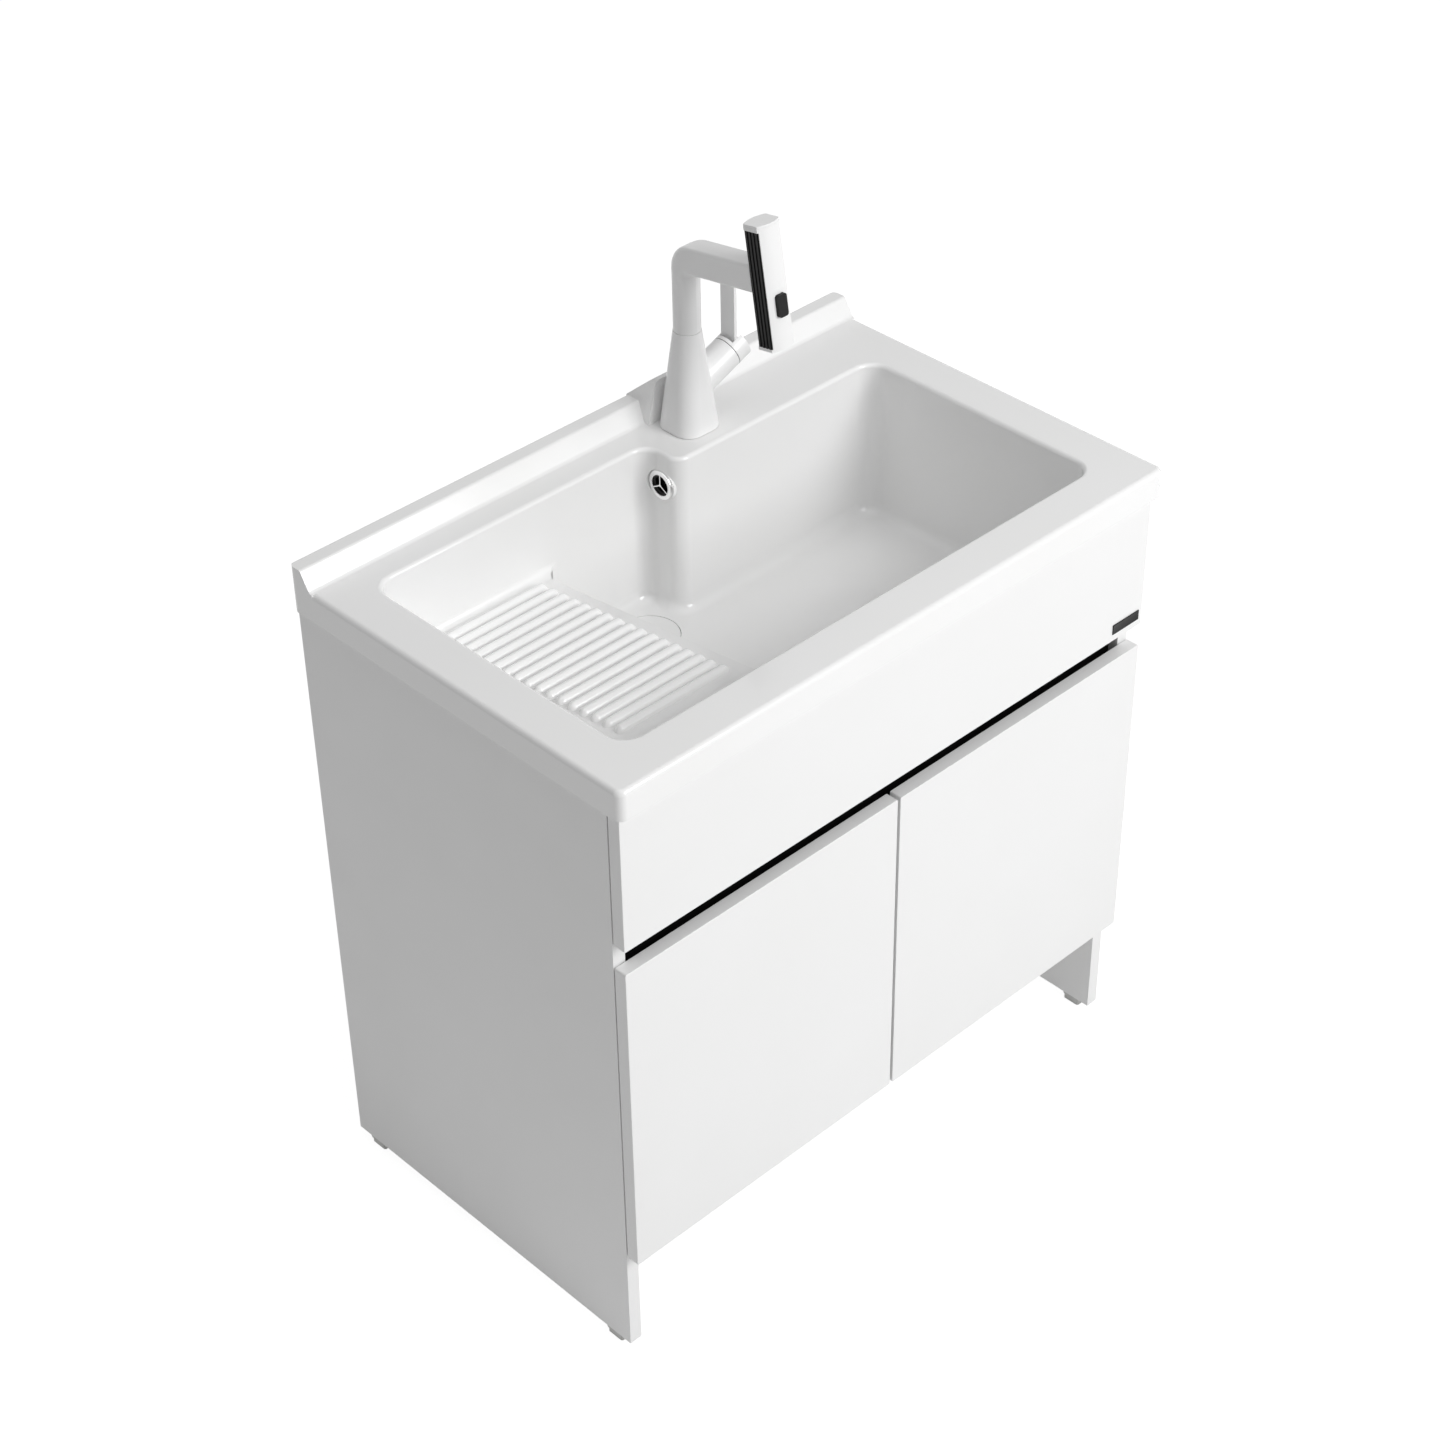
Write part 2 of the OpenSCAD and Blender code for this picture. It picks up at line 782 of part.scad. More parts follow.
module drain_cover() {
    color(glazed_white) at_drain(0) {
        translate([0, 0, floor_z - cover_t]) rotate_extrude() {
            square([cover_d / 2, cover_t - cover_edge]);
            square([cover_d / 2 - cover_edge, cover_t]);
            translate([cover_d / 2 - cover_edge, cover_t - cover_edge]) circle(r = cover_edge);
        }
        translate([0, 0, floor_z - cover_t - cover_hub_h])
            cylinder(h = cover_hub_h, d1 = cover_stem_d, d2 = cover_hub_d);
        translate([0, 0, floor_z - cover_t - cover_stem_h]) cylinder(h = cover_stem_h, d = cover_stem_d);
    }
}

module cover_seal() {
    seal_t = recess_deep - flange_t - cover_t;
    color(rubber_black) at_drain(floor_z - cover_t - seal_t) ring(seal_t, cover_seal_d, cover_seal_in_d);
}

// The click barrel that guides the cover's stem
module click_insert() {
    color(plastic_grey) at_drain(floor_z - cover_t - cover_hub_h - seat_gap - click_h) difference() {
        union() {
            cylinder(h = click_h, d = click_d);
            translate([0, 0, spider_z + spider_t - (floor_z - cover_t - cover_hub_h - seat_gap - click_h)])
                cylinder(h = click_wall, d = click_d + 2 * click_wall);
        }
        translate([0, 0, click_wall]) cylinder(h = click_h, d = cover_stem_d + 2 * run_gap);
    }
}

module drain_seal() {
    color(rubber_black) at_drain(waste_top) ring(drain_seal_t, drain_seal_d, drain_hole_d);
}

// Turns +X towards the overflow pipe's foot, at the drain's axis
module towards_overflow() {
    at_drain(branch_z) rotate(atan2(overflow_y - drain_y, elbow_pipe_x - drain_x)) children();
}

module waste_body() {
    tube_r = drain_tube_d / 2 + run_gap;
    cup_z = waste_top - waste_flange_t - waste_cup_h;
    color(plastic_grey) difference() {
        union() {
            at_drain(0) rotate_extrude() polygon([[0, waste_top], [waste_flange_d / 2, waste_top],
                [waste_flange_d / 2, waste_top - waste_flange_t], [waste_cup_d / 2, waste_top - waste_flange_t],
                [waste_cup_d / 2, cup_z], [tail_d / 2, cup_z - waste_cone_h], [tail_d / 2, tail_z],
                [0, tail_z]]);
            towards_overflow() rotate([0, 90, 0]) cylinder(h = branch_len, d = branch_d);
        }
        at_drain(0) rotate_extrude() polygon([[0, waste_top + overrun], [tube_r, waste_top + overrun],
            [tube_r, cup_z], [tail_bore_d / 2, cup_z - waste_cone_h], [tail_bore_d / 2, tail_z - overrun],
            [0, tail_z - overrun]]);
        towards_overflow() rotate([0, 90, 0]) cylinder(h = branch_len + overrun, d = pipe_bore_d);
        towards_overflow() translate([branch_len - branch_socket_deep, 0, 0]) rotate([0, 90, 0])
            cylinder(h = branch_socket_deep + overrun, d = pipe_d + 2 * run_gap);
    }
}

module overflow_pipe() {
    run = norm([elbow_pipe_x - drain_x, overflow_y - drain_y]);
    start = branch_len - branch_socket_deep;
    top = overflow_z - elbow_socket_len + elbow_socket_deep - seat_gap;
    color(plastic_grey) difference() {
        towards_overflow() pipe_path(start + seat_gap, run, top - branch_z, pipe_d, 0);
        towards_overflow() pipe_path(start + seat_gap, run, top - branch_z, pipe_bore_d, overrun);
    }
}

// Level run, quarter bend and upright of a pipe, from x0 to x1 and up to z1
module pipe_path(x0, x1, z1, d, past) {
    translate([x0 - past, 0, 0]) rotate([0, 90, 0]) cylinder(h = x1 - pipe_bend_r - x0 + past, d = d);
    translate([x1 - pipe_bend_r, 0, pipe_bend_r]) rotate([90, 0, 0]) rotate([0, 0, -90])
        rotate_extrude(angle = 90) translate([pipe_bend_r, 0]) circle(d = d);
    translate([x1, 0, pipe_bend_r]) cylinder(h = z1 - pipe_bend_r + past, d = d);
}

// Slip nut with grip ribs
module slip_nut(h, out_d, in_d) {
    difference() {
        union() {
            cylinder(h = h, d = out_d);
            for (i = [0 : 5]) rotate(i * 60) translate([out_d / 2 - grip_inset, 0, 0])
                cylinder(h = h, d = trap_grip_d);
        }
        translate([0, 0, -overrun]) cylinder(h = h + 2 * overrun, d = in_d);
    }
}

module tail_nut() {
    color(plastic_grey) at_drain(trap_neck_z - trap_neck_h + seat_gap) difference() {
        slip_nut(tail_nut_h, tail_nut_d, tail_d + 2 * run_gap);
        translate([0, 0, -overrun]) cylinder(h = trap_neck_h + overrun, d = trap_neck_d + 2 * run_gap);
    }
}

module trap_body() {
    top = trap_neck_z - trap_neck_h;
    shoulder = top - trap_shoulder_h;
    color(plastic_grey) difference() {
        union() {
            at_drain(0) rotate_extrude() polygon([[0, trap_z], [trap_d / 2, trap_z], [trap_d / 2, shoulder],
                [trap_neck_d / 2, top], [trap_neck_d / 2, trap_neck_z], [0, trap_neck_z]]);
            at_drain(outlet_z) rotate([-90, 0, 0]) cylinder(h = outlet_neck_len, d = outlet_neck_d);
        }
        at_drain(0) rotate_extrude() polygon([[0, trap_z - overrun], [trap_d / 2 - trap_wall, trap_z - overrun],
            [trap_d / 2 - trap_wall, shoulder - trap_wall], [tail_d / 2 + run_gap, top - trap_wall],
            [tail_d / 2 + run_gap, trap_neck_z + overrun], [0, trap_neck_z + overrun]]);
        at_drain(outlet_z) rotate([-90, 0, 0])
            cylinder(h = outlet_neck_len + overrun, d = outlet_d + 2 * run_gap);
    }
}

module trap_cup() {
    color(plastic_grey) at_drain(trap_cup_z) difference() {
        union() {
            rotate_extrude() {
                square([trap_cup_d / 2 - trap_wall, trap_cup_h]);
                translate([0, trap_wall]) square([trap_cup_d / 2, trap_cup_h - trap_wall]);
                translate([trap_cup_d / 2 - trap_wall, trap_wall]) circle(r = trap_wall);
            }
            for (i = [0 : trap_cup_grips - 1]) rotate(i * 360 / trap_cup_grips)
                translate([trap_cup_d / 2 - grip_inset, 0, trap_wall])
                    cylinder(h = trap_cup_h - 2 * trap_wall, d = trap_grip_d);
        }
        translate([0, 0, trap_wall]) cylinder(h = trap_cup_h, d = trap_d - 2 * trap_wall);
        translate([0, 0, trap_z - trap_cup_z - drain_seal_t])
            cylinder(h = trap_cup_h, d = trap_d + 2 * run_gap);
    }
}

module cup_seal() {
    color(rubber_black) at_drain(trap_z - drain_seal_t)
        ring(drain_seal_t, trap_d, trap_d - 2 * trap_wall);
}

module outlet_pipe() {
    y0 = drain_y + outlet_neck_len / 2 + outlet_nut_w;
    color(plastic_grey) translate([drain_x, y0, outlet_z]) rotate([-90, 0, 0])
        ring(back_y - y0, outlet_d, outlet_bore_d);
}

module outlet_nut() {
    y0 = drain_y + outlet_neck_len - outlet_nut_w + outlet_nut_past;
    color(plastic_grey) translate([drain_x, y0, outlet_z]) rotate([-90, 0, 0]) difference() {
        slip_nut(outlet_nut_w, outlet_nut_d, outlet_d + 2 * run_gap);
        translate([0, 0, -overrun])
            cylinder(h = drain_y + outlet_neck_len - y0 + seat_gap + overrun, d = outlet_neck_d + 2 * run_gap);
    }
}

module wall_rosette() {
    color(plastic_grey) translate([drain_x, back_y, outlet_z]) rotate([90, 0, 0]) difference() {
        cylinder(h = rosette_t, d1 = rosette_d, d2 = outlet_d + 2 * rosette_t);
        translate([0, 0, -overrun]) cylinder(h = rosette_t + 2 * overrun, d = outlet_d + 2 * run_gap);
    }
}

module overflow_ring() {
    edge = overflow_ring_edge;
    front_t = overflow_ring_t / 2;
    color(chrome_grey) along_x(step_x - overflow_ring_t) difference() {
        union() {
            rotate_extrude() {
                translate([0, edge]) square([overflow_ring_d / 2, front_t - edge]);
                square([overflow_ring_d / 2 - edge, front_t]);
                translate([overflow_ring_d / 2 - edge, edge]) intersection() {
                    circle(r = edge);
                    square(2 * edge, center = true);
                }
            }
            translate([0, 0, front_t]) linear_extrude(overflow_ring_t - front_t) {
                circle(d = overflow_ring_d);
                rotate(-90 - overflow_lug_turn) translate([overflow_ring_d / 2, 0]) circle(d = overflow_lug_d);
            }
        }
        translate([0, 0, -overrun]) cylinder(h = overflow_ring_t + 2 * overrun, d = overflow_ring_in_d);
    }
}

// Black liner: a cone inside the ring and a sleeve through the wall
module overflow_throat() {
    out_r = overflow_ring_in_d / 2 - run_gap;
    hole_r = overflow_hole_d / 2 - run_gap;
    in_r = overflow_throat_d / 2;
    front = web_t - overflow_ring_t;
    color(soft_black) along_x(step_x) rotate_extrude() polygon([[in_r, 0], [out_r - run_gap, front],
        [out_r, front], [out_r, 0], [hole_r, 0], [hole_r, ceramic_t + elbow_seal_t],
        [in_r, ceramic_t + elbow_seal_t]]);
}

module overflow_web() {
    out_r = overflow_ring_in_d / 2 - run_gap;
    color(chrome_grey) along_x(step_x - overflow_ring_t) {
        ring(web_t, 2 * out_r, 2 * (out_r - web_rim));
        cylinder(h = web_t, d = web_hub_d);
        for (i = [0 : 2]) rotate(180 + i * 120)
            box([0, -web_spoke_w / 2, 0], [out_r - web_rim / 2, web_spoke_w / 2, web_t]);
    }
}

// What the right part of the bowl's back wall takes away from the round pieces behind the step
module wall_behind() {
    box([step_x, lobe_right_y1 - elbow_flange_d, floor_z], [basin_w / 2, elbow_wall_y, deck_h]);
}

module overflow_seal() {
    color(rubber_black) difference() {
        along_x(step_x + ceramic_t) ring(elbow_seal_t, elbow_flange_d, overflow_hole_d);
        wall_behind();
    }
}

module overflow_elbow() {
    x0 = step_x + ceramic_t + elbow_seal_t;
    socket_z = overflow_z - elbow_socket_len;
    color(plastic_grey) difference() {
        union() {
            difference() {
                along_x(x0) cylinder(h = elbow_flange_t, d = elbow_flange_d);
                wall_behind();
            }
            along_x(x0 + elbow_body_in) cylinder(h = elbow_len - elbow_body_in, d = elbow_body_d);
            translate([elbow_pipe_x, overflow_y, socket_z]) cylinder(h = elbow_socket_len, d = elbow_socket_d);
        }
        along_x(x0 - overrun) cylinder(h = elbow_len - trap_wall + overrun, d = overflow_throat_d);
        translate([elbow_pipe_x, overflow_y, socket_z]) cylinder(h = elbow_socket_len, d = pipe_bore_d);
        translate([elbow_pipe_x, overflow_y, socket_z - overrun])
            cylinder(h = elbow_socket_deep + overrun, d = pipe_d + 2 * run_gap);
    }
}

// Frames of the tap: on the deck, along the hub, along the arm and at the spray head
module at_tap(z) {
    translate([tap_x, tap_y, deck_h + z]) children();
}

module along_hub(s) {
    at_tap(hub_z) rotate([0, 90 - hub_rise, 0]) translate([0, 0, s]) children();
}

module at_bend() {
    at_tap(bend_h) translate([0, -bend_r, 0]) children();
}

module at_spray() {
    at_bend() rotate([-arm_rise, 0, 0]) translate([0, -arm_len, bend_r - spray_drop]) children();
}

module tap_body() {
    color(satin_white) difference() {
        union() {
            at_tap(gasket_t) hull() {
                linear_extrude(slice) rounded_rect(tap_foot_w, tap_foot_w, tap_foot_r);
                translate([0, 0, tap_body_h - gasket_t - slice]) cylinder(h = slice, d = tap_top_d);
            }
            along_hub(0) cylinder(h = hub_end, d = hub_d);
        }
        at_tap(gasket_t - overrun) cylinder(h = body_cavity_h + overrun, d = body_cavity_d);
        at_tap(0) cylinder(h = tap_body_h, d = passage_d);
        at_tap(tap_body_h - socket_deep) cylinder(h = socket_deep + overrun, d = socket_d);
        along_hub(cartridge_s) cylinder(h = hub_end, d = cartridge_d + 2 * run_gap);
    }
}

module tap_gasket() {
    color(rubber_black) at_tap(0) ring(gasket_t, gasket_d, body_cavity_d);
}

module tap_shank() {
    color(chrome_grey) at_tap(-shank_down) difference() {
        union() {
            cylinder(h = shank_down + body_cavity_h, d = shank_d);
            for (s = [-1, 1]) translate([s * inlet_gap / 2, 0, -inlet_len])
                cylinder(h = inlet_len, d = inlet_d);
        }
        translate([0, 0, inlet_plate_t]) cylinder(h = shank_down + body_cavity_h, d = shank_bore_d);
        for (s = [-1, 1]) translate([s * inlet_gap / 2, 0, -inlet_len - overrun])
            cylinder(h = inlet_len + inlet_plate_t + 2 * overrun, d = inlet_bore_d);
    }
}

// Horseshoe washer, open to the front
module clamp_washer() {
    slot = shank_d + 2 * seat_gap;
    color(chrome_grey) at_tap(-deck_skin - washer_t) difference() {
        cylinder(h = washer_t, d = washer_d);
        translate([0, 0, -overrun]) cylinder(h = washer_t + 2 * overrun, d = slot);
        box([-slot / 2, -washer_d, -overrun], [slot / 2, 0, washer_t + overrun]);
    }
}

module clamp_nut() {
    color(chrome_grey) at_tap(-deck_skin - washer_t - nut_h) difference() {
        cylinder(h = nut_h, d = nut_d, $fn = 6);
        translate([0, 0, -overrun]) cylinder(h = nut_h + 2 * overrun, d = shank_d + 2 * run_gap);
    }
}

module mixer_cartridge() {
    color(plastic_grey) along_hub(cartridge_s) {
        cylinder(h = cartridge_len, d = cartridge_d);
        cylinder(h = cartridge_len + cartridge_neck_len, d = cartridge_neck_d);
        cylinder(h = hub_end - cartridge_s + stem_len, d = stem_d);
    }
}

module cartridge_nut() {
    color(chrome_grey) along_hub(cartridge_s + cartridge_len)
        ring(cartridge_neck_len, cartridge_d, nut_ring_in_d);
}

module gap_ring() {
    color(soft_black) along_hub(hub_end) ring(gap_ring_t, gap_ring_d, gap_ring_in_d);
}

// Places a Y-wise piece at the lever's pin
module at_pin() {
    at_tap(pin_z) translate([lever_x, 0, 0]) rotate([90, 0, 0]) children();
}

// Turning cap: a shell that is open above for the lever, with two ears for the pin
module handle_cap() {
    len = cap_end_s - cap_s;
    ear_y = knuckle_w / 2 + run_gap;
    color(satin_white) difference() {
        union() {
            along_hub(cap_s) difference() {
                cylinder(h = len, d = hub_d);
                translate([0, 0, cap_base_t])
                    cylinder(h = len - cap_base_t - cap_wall, d = hub_d - 2 * cap_wall);
                translate([0, 0, -overrun]) cylinder(h = cap_base_t + 2 * overrun, d = cap_stem_hole_d);
                box([-hub_d, -lever_w / 2 - seat_gap, cap_slot_s - cap_s],
                    [-cap_slot_n, lever_w / 2 + seat_gap, len + overrun]);
            }
            for (s = [-1, 1]) at_pin() translate([0, 0, s * (ear_y + ear_t / 2)]) {
                cylinder(h = ear_t, r = ear_r, center = true);
                rotate(hub_rise) box([cap_s + cap_base_t / 2 - pin_s, -ear_r, -ear_t / 2],
                    [0, ear_r, ear_t / 2]);
            }
        }
        at_pin() cylinder(h = pin_len + overrun, d = pin_d + 2 * run_gap, center = true);
    }
}

module lever_pin() {
    color(chrome_grey) at_pin() cylinder(h = pin_len, d = pin_d, center = true);
}

module lever() {
    color(satin_white) difference() {
        union() {
            at_pin() cylinder(h = knuckle_w, r = knuckle_r, center = true);
            at_tap(pin_z) translate([lever_x, 0, 0]) {
                box([-lever_t / 2, -knuckle_w / 2, 0], [lever_t / 2, knuckle_w / 2, knuckle_r + lever_root]);
                rotate([90, 0, 90]) translate([0, knuckle_r, -lever_t / 2]) linear_extrude(lever_t) {
                    w = lever_w;
                    h = lever_len - knuckle_r;
                    translate([0, h / 2]) rounded_rect(w, h, lever_corner);
                }
            }
        }
        at_pin() cylinder(h = knuckle_w + 2 * overrun, d = pin_d + 2 * run_gap, center = true);
    }
}

// Points round a rectangle of w by h with corners of radius r
function ring_points(w, h, r) = [for (q = [0 : 3], i = [0 : corner_steps])
    let (a = 90 * (q + i / corner_steps), sx = (q == 0 || q == 3) ? 1 : -1, sy = (q < 2) ? 1 : -1)
    [sx * (w / 2 - r) + r * cos(a), sy * (h / 2 - r) + r * sin(a)]];

// The spout's section at a share of the bend: round below, flat-sided at the arm
function section_points(share) = let (round_r = column_d / 2 - run_gap)
    ring_points(column_d + (arm_w - column_d) * share, column_d + (arm_h - column_d) * share,
    round_r + (arm_edge - round_r) * share);

// The section's points in the bend's frame, turned by its share of the bend and pushed on by a length
function placed_points(share, push) = let (t = bend_turn * share) [for (p = section_points(share))
    let (y = bend_r + p[1]) [p[0], y * cos(t) - push * sin(t), y * sin(t) + push * cos(t)]];

// Solid through rings of points that all have the same count
module loft(rings) {
    n = len(rings[0]);
    last = (len(rings) - 1) * n;
    sides = [for (k = [0 : len(rings) - 2], i = [0 : n - 1], half = [0, 1])
        let (a = k * n + i, b = k * n + (i + 1) % n) half == 0 ? [a, a + n, b + n] : [a, b + n, b]];
    caps = [[for (i = [0 : n - 1]) i], [for (i = [n - 1 : -1 : 0]) last + i]];
    polyhedron(points = [for (r = rings, p = r) p], faces = concat(caps, sides));
}

// Straight link between the column's bore and the arm's bore, on the inside of the bend
module bend_bore() {
    low = [0, bend_r, -link_past];
    high = [0, bend_r * cos(bend_turn) - link_past * sin(bend_turn),
        bend_r * sin(bend_turn) + link_past * cos(bend_turn)];
    pipe(low, high, link_d);
}

module spout() {
    z0 = tap_body_h + ring_t;
    rings = concat([placed_points(0, z0 - bend_h)],
        [for (i = [0 : bend_steps]) placed_points(i / bend_steps, 0)],
        [placed_points(1, arm_len - spray_side / 2)]);
    color(satin_white) difference() {
        union() {
            at_bend() loft(rings);
            at_tap(tap_body_h - spigot_len) cylinder(h = spigot_len + ring_t + spigot_in, d = spigot_d);
        }
        at_tap(tap_body_h - spigot_len - overrun)
            cylinder(h = bend_h - tap_body_h + spigot_len + overrun, d = spout_bore_d);
        at_bend() bend_bore();
        at_bend() rotate([-arm_rise, 0, 0]) translate([0, 0, bend_r]) rotate([90, 0, 0])
            cylinder(h = arm_len, d = spout_bore_d);
        at_spray() translate([0, spray_side_in(), -spray_len])
            cylinder(h = 2 * spray_len, r = spray_arc_r + seat_gap);
    }
}

// Distance from the spray head's middle to the centre of its back or front arc
function spray_side_in() = spray_side / 2 - sqrt(spray_arc_r * spray_arc_r - spray_w * spray_w / 4);

module swivel_ring() {
    color(plastic_grey) at_tap(tap_body_h) ring(ring_t, swivel_ring_d, spigot_d + 2 * run_gap);
}

// Outline of the spray head: flat sides, round front and back
module spray_outline() {
    intersection() {
        square([spray_w, spray_arc_r * 2], center = true);
        translate([0, spray_side_in()]) circle(r = spray_arc_r);
        translate([0, -spray_side_in()]) circle(r = spray_arc_r);
    }
}

// Places a piece at a depth behind the front of the spray head, at the button
module button_place(y) {
    front_r = spray_arc_r + spray_side_in();
    at_spray() translate([0, y - front_r, spray_drop - button_drop]) rotate([90, 0, 0]) children();
}

module spray_body() {
    z0 = -spray_len / 2;
    body_len = spray_len - spray_cap_t;
    strip_len = spray_len - strip_top - strip_bottom;
    back_y1 = spray_side_in() + spray_arc_r;
    color(satin_white) difference() {
        at_spray() translate([0, 0, z0]) linear_extrude(body_len) spray_outline();
        for (s = [-1, 1]) at_spray()
            translate([s * (spray_w - strip_t + overrun) / 2, 0, z0 + strip_bottom])
                linear_extrude(strip_len) square([strip_t + overrun, spray_side + 2 * overrun], center = true);
        at_spray() translate([0, 0, z0 - overrun]) linear_extrude(nozzle_t + overrun)
            rounded_rect(nozzle_w + 2 * run_gap, nozzle_d + 2 * run_gap, nozzle_corner);
        at_spray() translate([0, 0, z0]) cylinder(h = spray_len / 2 + spray_drop, d = water_d);
        at_spray() translate([0, 0, spray_drop]) rotate([-90, 0, 0])
            cylinder(h = back_y1 + overrun, d = spray_shank_bore_d);
        at_spray() translate([0, back_y1 - spray_shank_in, spray_drop]) rotate([-90, 0, 0])
            cylinder(h = spray_shank_in + overrun, d = spray_shank_d + 2 * run_gap);
        button_place(button_deep) linear_extrude(button_deep + spray_side)
            rounded_rect(button_w + 2 * seat_gap, button_h + 2 * seat_gap, button_corner + seat_gap);
    }
}

module spray_top_cap() {
    color(satin_white) at_spray() translate([0, 0, spray_len / 2 - spray_cap_t])
        linear_extrude(spray_cap_t) spray_outline();
}

module grip_strip() {
    strip_len = spray_len - strip_top - strip_bottom;
    pitch = spray_side / strip_ribs;
    color(soft_black) for (s = [-1, 1]) at_spray() translate([s * spray_w / 2, 0, strip_bottom - spray_len / 2])
        facing(s) linear_extrude(strip_len) {
            translate([strip_rib_h, -spray_side / 2]) square([strip_t - strip_rib_h, spray_side]);
            for (i = [0 : strip_ribs - 1]) translate([0, (i - (strip_ribs - 1) / 2) * pitch - strip_rib_w / 2])
                square([strip_t, strip_rib_w]);
        }
}

module spray_nozzle() {
    color(plastic_grey) at_spray() translate([0, 0, -spray_len / 2]) difference() {
        linear_extrude(nozzle_t) rounded_rect(nozzle_w, nozzle_d, nozzle_corner);
        for (i = [-2 : 2], j = [-1 : 1]) translate([i * jet_pitch, j * jet_pitch, -overrun])
            cylinder(h = nozzle_t + 2 * overrun, d = jet_d);
    }
}

module spray_button() {
    color(soft_black) button_place(button_deep - button_travel - seat_gap)
        linear_extrude(button_deep - button_travel - seat_gap + button_out)
            rounded_rect(button_w, button_h, button_corner);
}

module spray_shank() {
    back_y1 = spray_side_in() + spray_arc_r;
    color(plastic_grey) at_spray() translate([0, back_y1 - spray_shank_in, spray_drop]) rotate([-90, 0, 0])
        ring(spray_shank_in + spray_shank_len, spray_shank_d, spray_shank_bore_d);
}

module side_panel(s) {
    color(lacquer_white) difference() {
        box([min(s * cab_x1, s * cab_in_x1), side_front_y, foot_h],
            [max(s * cab_x1, s * cab_in_x1), back_y, deck_under_z]);
        for (z = hinge_heights(), dz = [-1, 1])
            translate([s * cab_in_x1, hinge_plate_y0 + hinge_plate_len / 2, z + dz * hinge_hole_gap / 2])
                rotate([0, 90, 0]) cylinder(h = board_t, d = hinge_hole_d, center = true);
    }
}

function hinge_heights() = [door_z0 + hinge_z_in, door_z1 - hinge_z_in];

module side_panel_left() {
    side_panel(-1);
}

module side_panel_right() {
    side_panel(1);
}

module bottom_panel() {
    color(lacquer_white)
        box([cab_in_x0, side_front_y, bottom_z0], [cab_in_x1, back_y - board_t, bottom_z0 + board_t]);
}

module back_rail(z0) {
    color(lacquer_white) difference() {
        box([cab_in_x0, back_y - board_t, z0], [cab_in_x1, back_y, z0 + rail_h]);
        for (s = [-1, 1]) translate([s * wall_hole_x, back_y + overrun, z0 + rail_h / 2]) rotate([90, 0, 0])
            cylinder(h = board_t + 2 * overrun, d = wall_hole_d);
    }
}

module back_rail_upper() {
    back_rail(upper_rail_z1 - rail_h);
}

module back_rail_lower() {
    back_rail(bottom_z0);
}

// Board with round corners that faces the user
module front_board(x0, x1, z0, z1) {
    translate([(x0 + x1) / 2, front_back_y, (z0 + z1) / 2]) rotate([90, 0, 0])
        linear_extrude(board_t) rounded_rect(x1 - x0, z1 - z0, door_corner);
}

module front_panel() {
    color(lacquer_white) front_board(cab_x0, cab_x1, front_panel_z0, deck_under_z);
}

// L brackets that hold the front panel to the side panels
module panel_brackets() {
    tops = [front_panel_z0 + bracket_in + bracket_h, deck_under_z - bracket_in];
    color(chrome_grey) for (s = [-1, 1], z = tops)
        translate([s * cab_in_x1, front_back_y, z - bracket_h]) facing(s) difference() {
            union() {
                cube([bracket_t, bracket_leg, bracket_h]);
                cube([bracket_leg, bracket_t, bracket_h]);
            }
            translate([-overrun, bracket_hole_in, bracket_h / 2]) rotate([0, 90, 0])
                cylinder(h = bracket_t + 2 * overrun, d = bracket_hole_d);
            translate([bracket_hole_in, bracket_t + overrun, bracket_h / 2]) rotate([90, 0, 0])
                cylinder(h = bracket_t + 2 * overrun, d = bracket_hole_d);
        }
}

// Recessed finger channel between the front panel and the doors
module grip_channel() {
    y0 = front_back_y + bumper_t;
    y1 = channel_web_y;
    color(soft_black) translate([cab_in_x0, 0, 0]) rotate([90, 0, 90]) linear_extrude(cab_in_x1 - cab_in_x0) {
        translate([y1, channel_z0]) square([channel_t, channel_z1 - channel_z0]);
        translate([y0, channel_z0]) square([y1 - y0 + channel_t, channel_t]);
        translate([y0, channel_z0]) square([channel_t, channel_lip]);
        translate([front_back_y, channel_z1 - channel_t]) square([y1 - front_back_y + channel_t, channel_t]);
    }
}

module door(s) {
    difference() {
        front_board(min(s * door_x_in, s * cab_x1), max(s * door_x_in, s * cab_x1), door_z0, door_z1);
        for (z = hinge_heights()) translate([s * (cab_x1 - hinge_cup_in), front_back_y + overrun, z])
            rotate([90, 0, 0]) cylinder(h = hinge_cup_deep + overrun, d = hinge_cup_d + 2 * run_gap);
    }
}

module door_left() {
    color(lacquer_white) door(-1);
}

module door_right() {
    color(lacquer_white) door(1);
}

// Steel cups let into the door's back, with their screw flanges
module hinge_cups(s) {
    color(chrome_grey) for (z = hinge_heights()) translate([s * (cab_x1 - hinge_cup_in), front_back_y, z])
        rotate([-90, 0, 0]) difference() {
            union() {
                translate([0, 0, -hinge_cup_deep]) cylinder(h = hinge_cup_deep, d = hinge_cup_d);
                linear_extrude(hinge_cup_t) {
                    circle(d = hinge_cup_d);
                    rounded_rect(hinge_flange_d, hinge_flange_w, hinge_flange_corner);
                }
            }
            translate([0, 0, hinge_cup_t - hinge_cup_deep])
                cylinder(h = hinge_cup_deep + overrun, d = hinge_cup_d - 2 * hinge_cup_t);
        }
}

module hinge_cups_left() {
    hinge_cups(-1);
}

module hinge_cups_right() {
    hinge_cups(1);
}

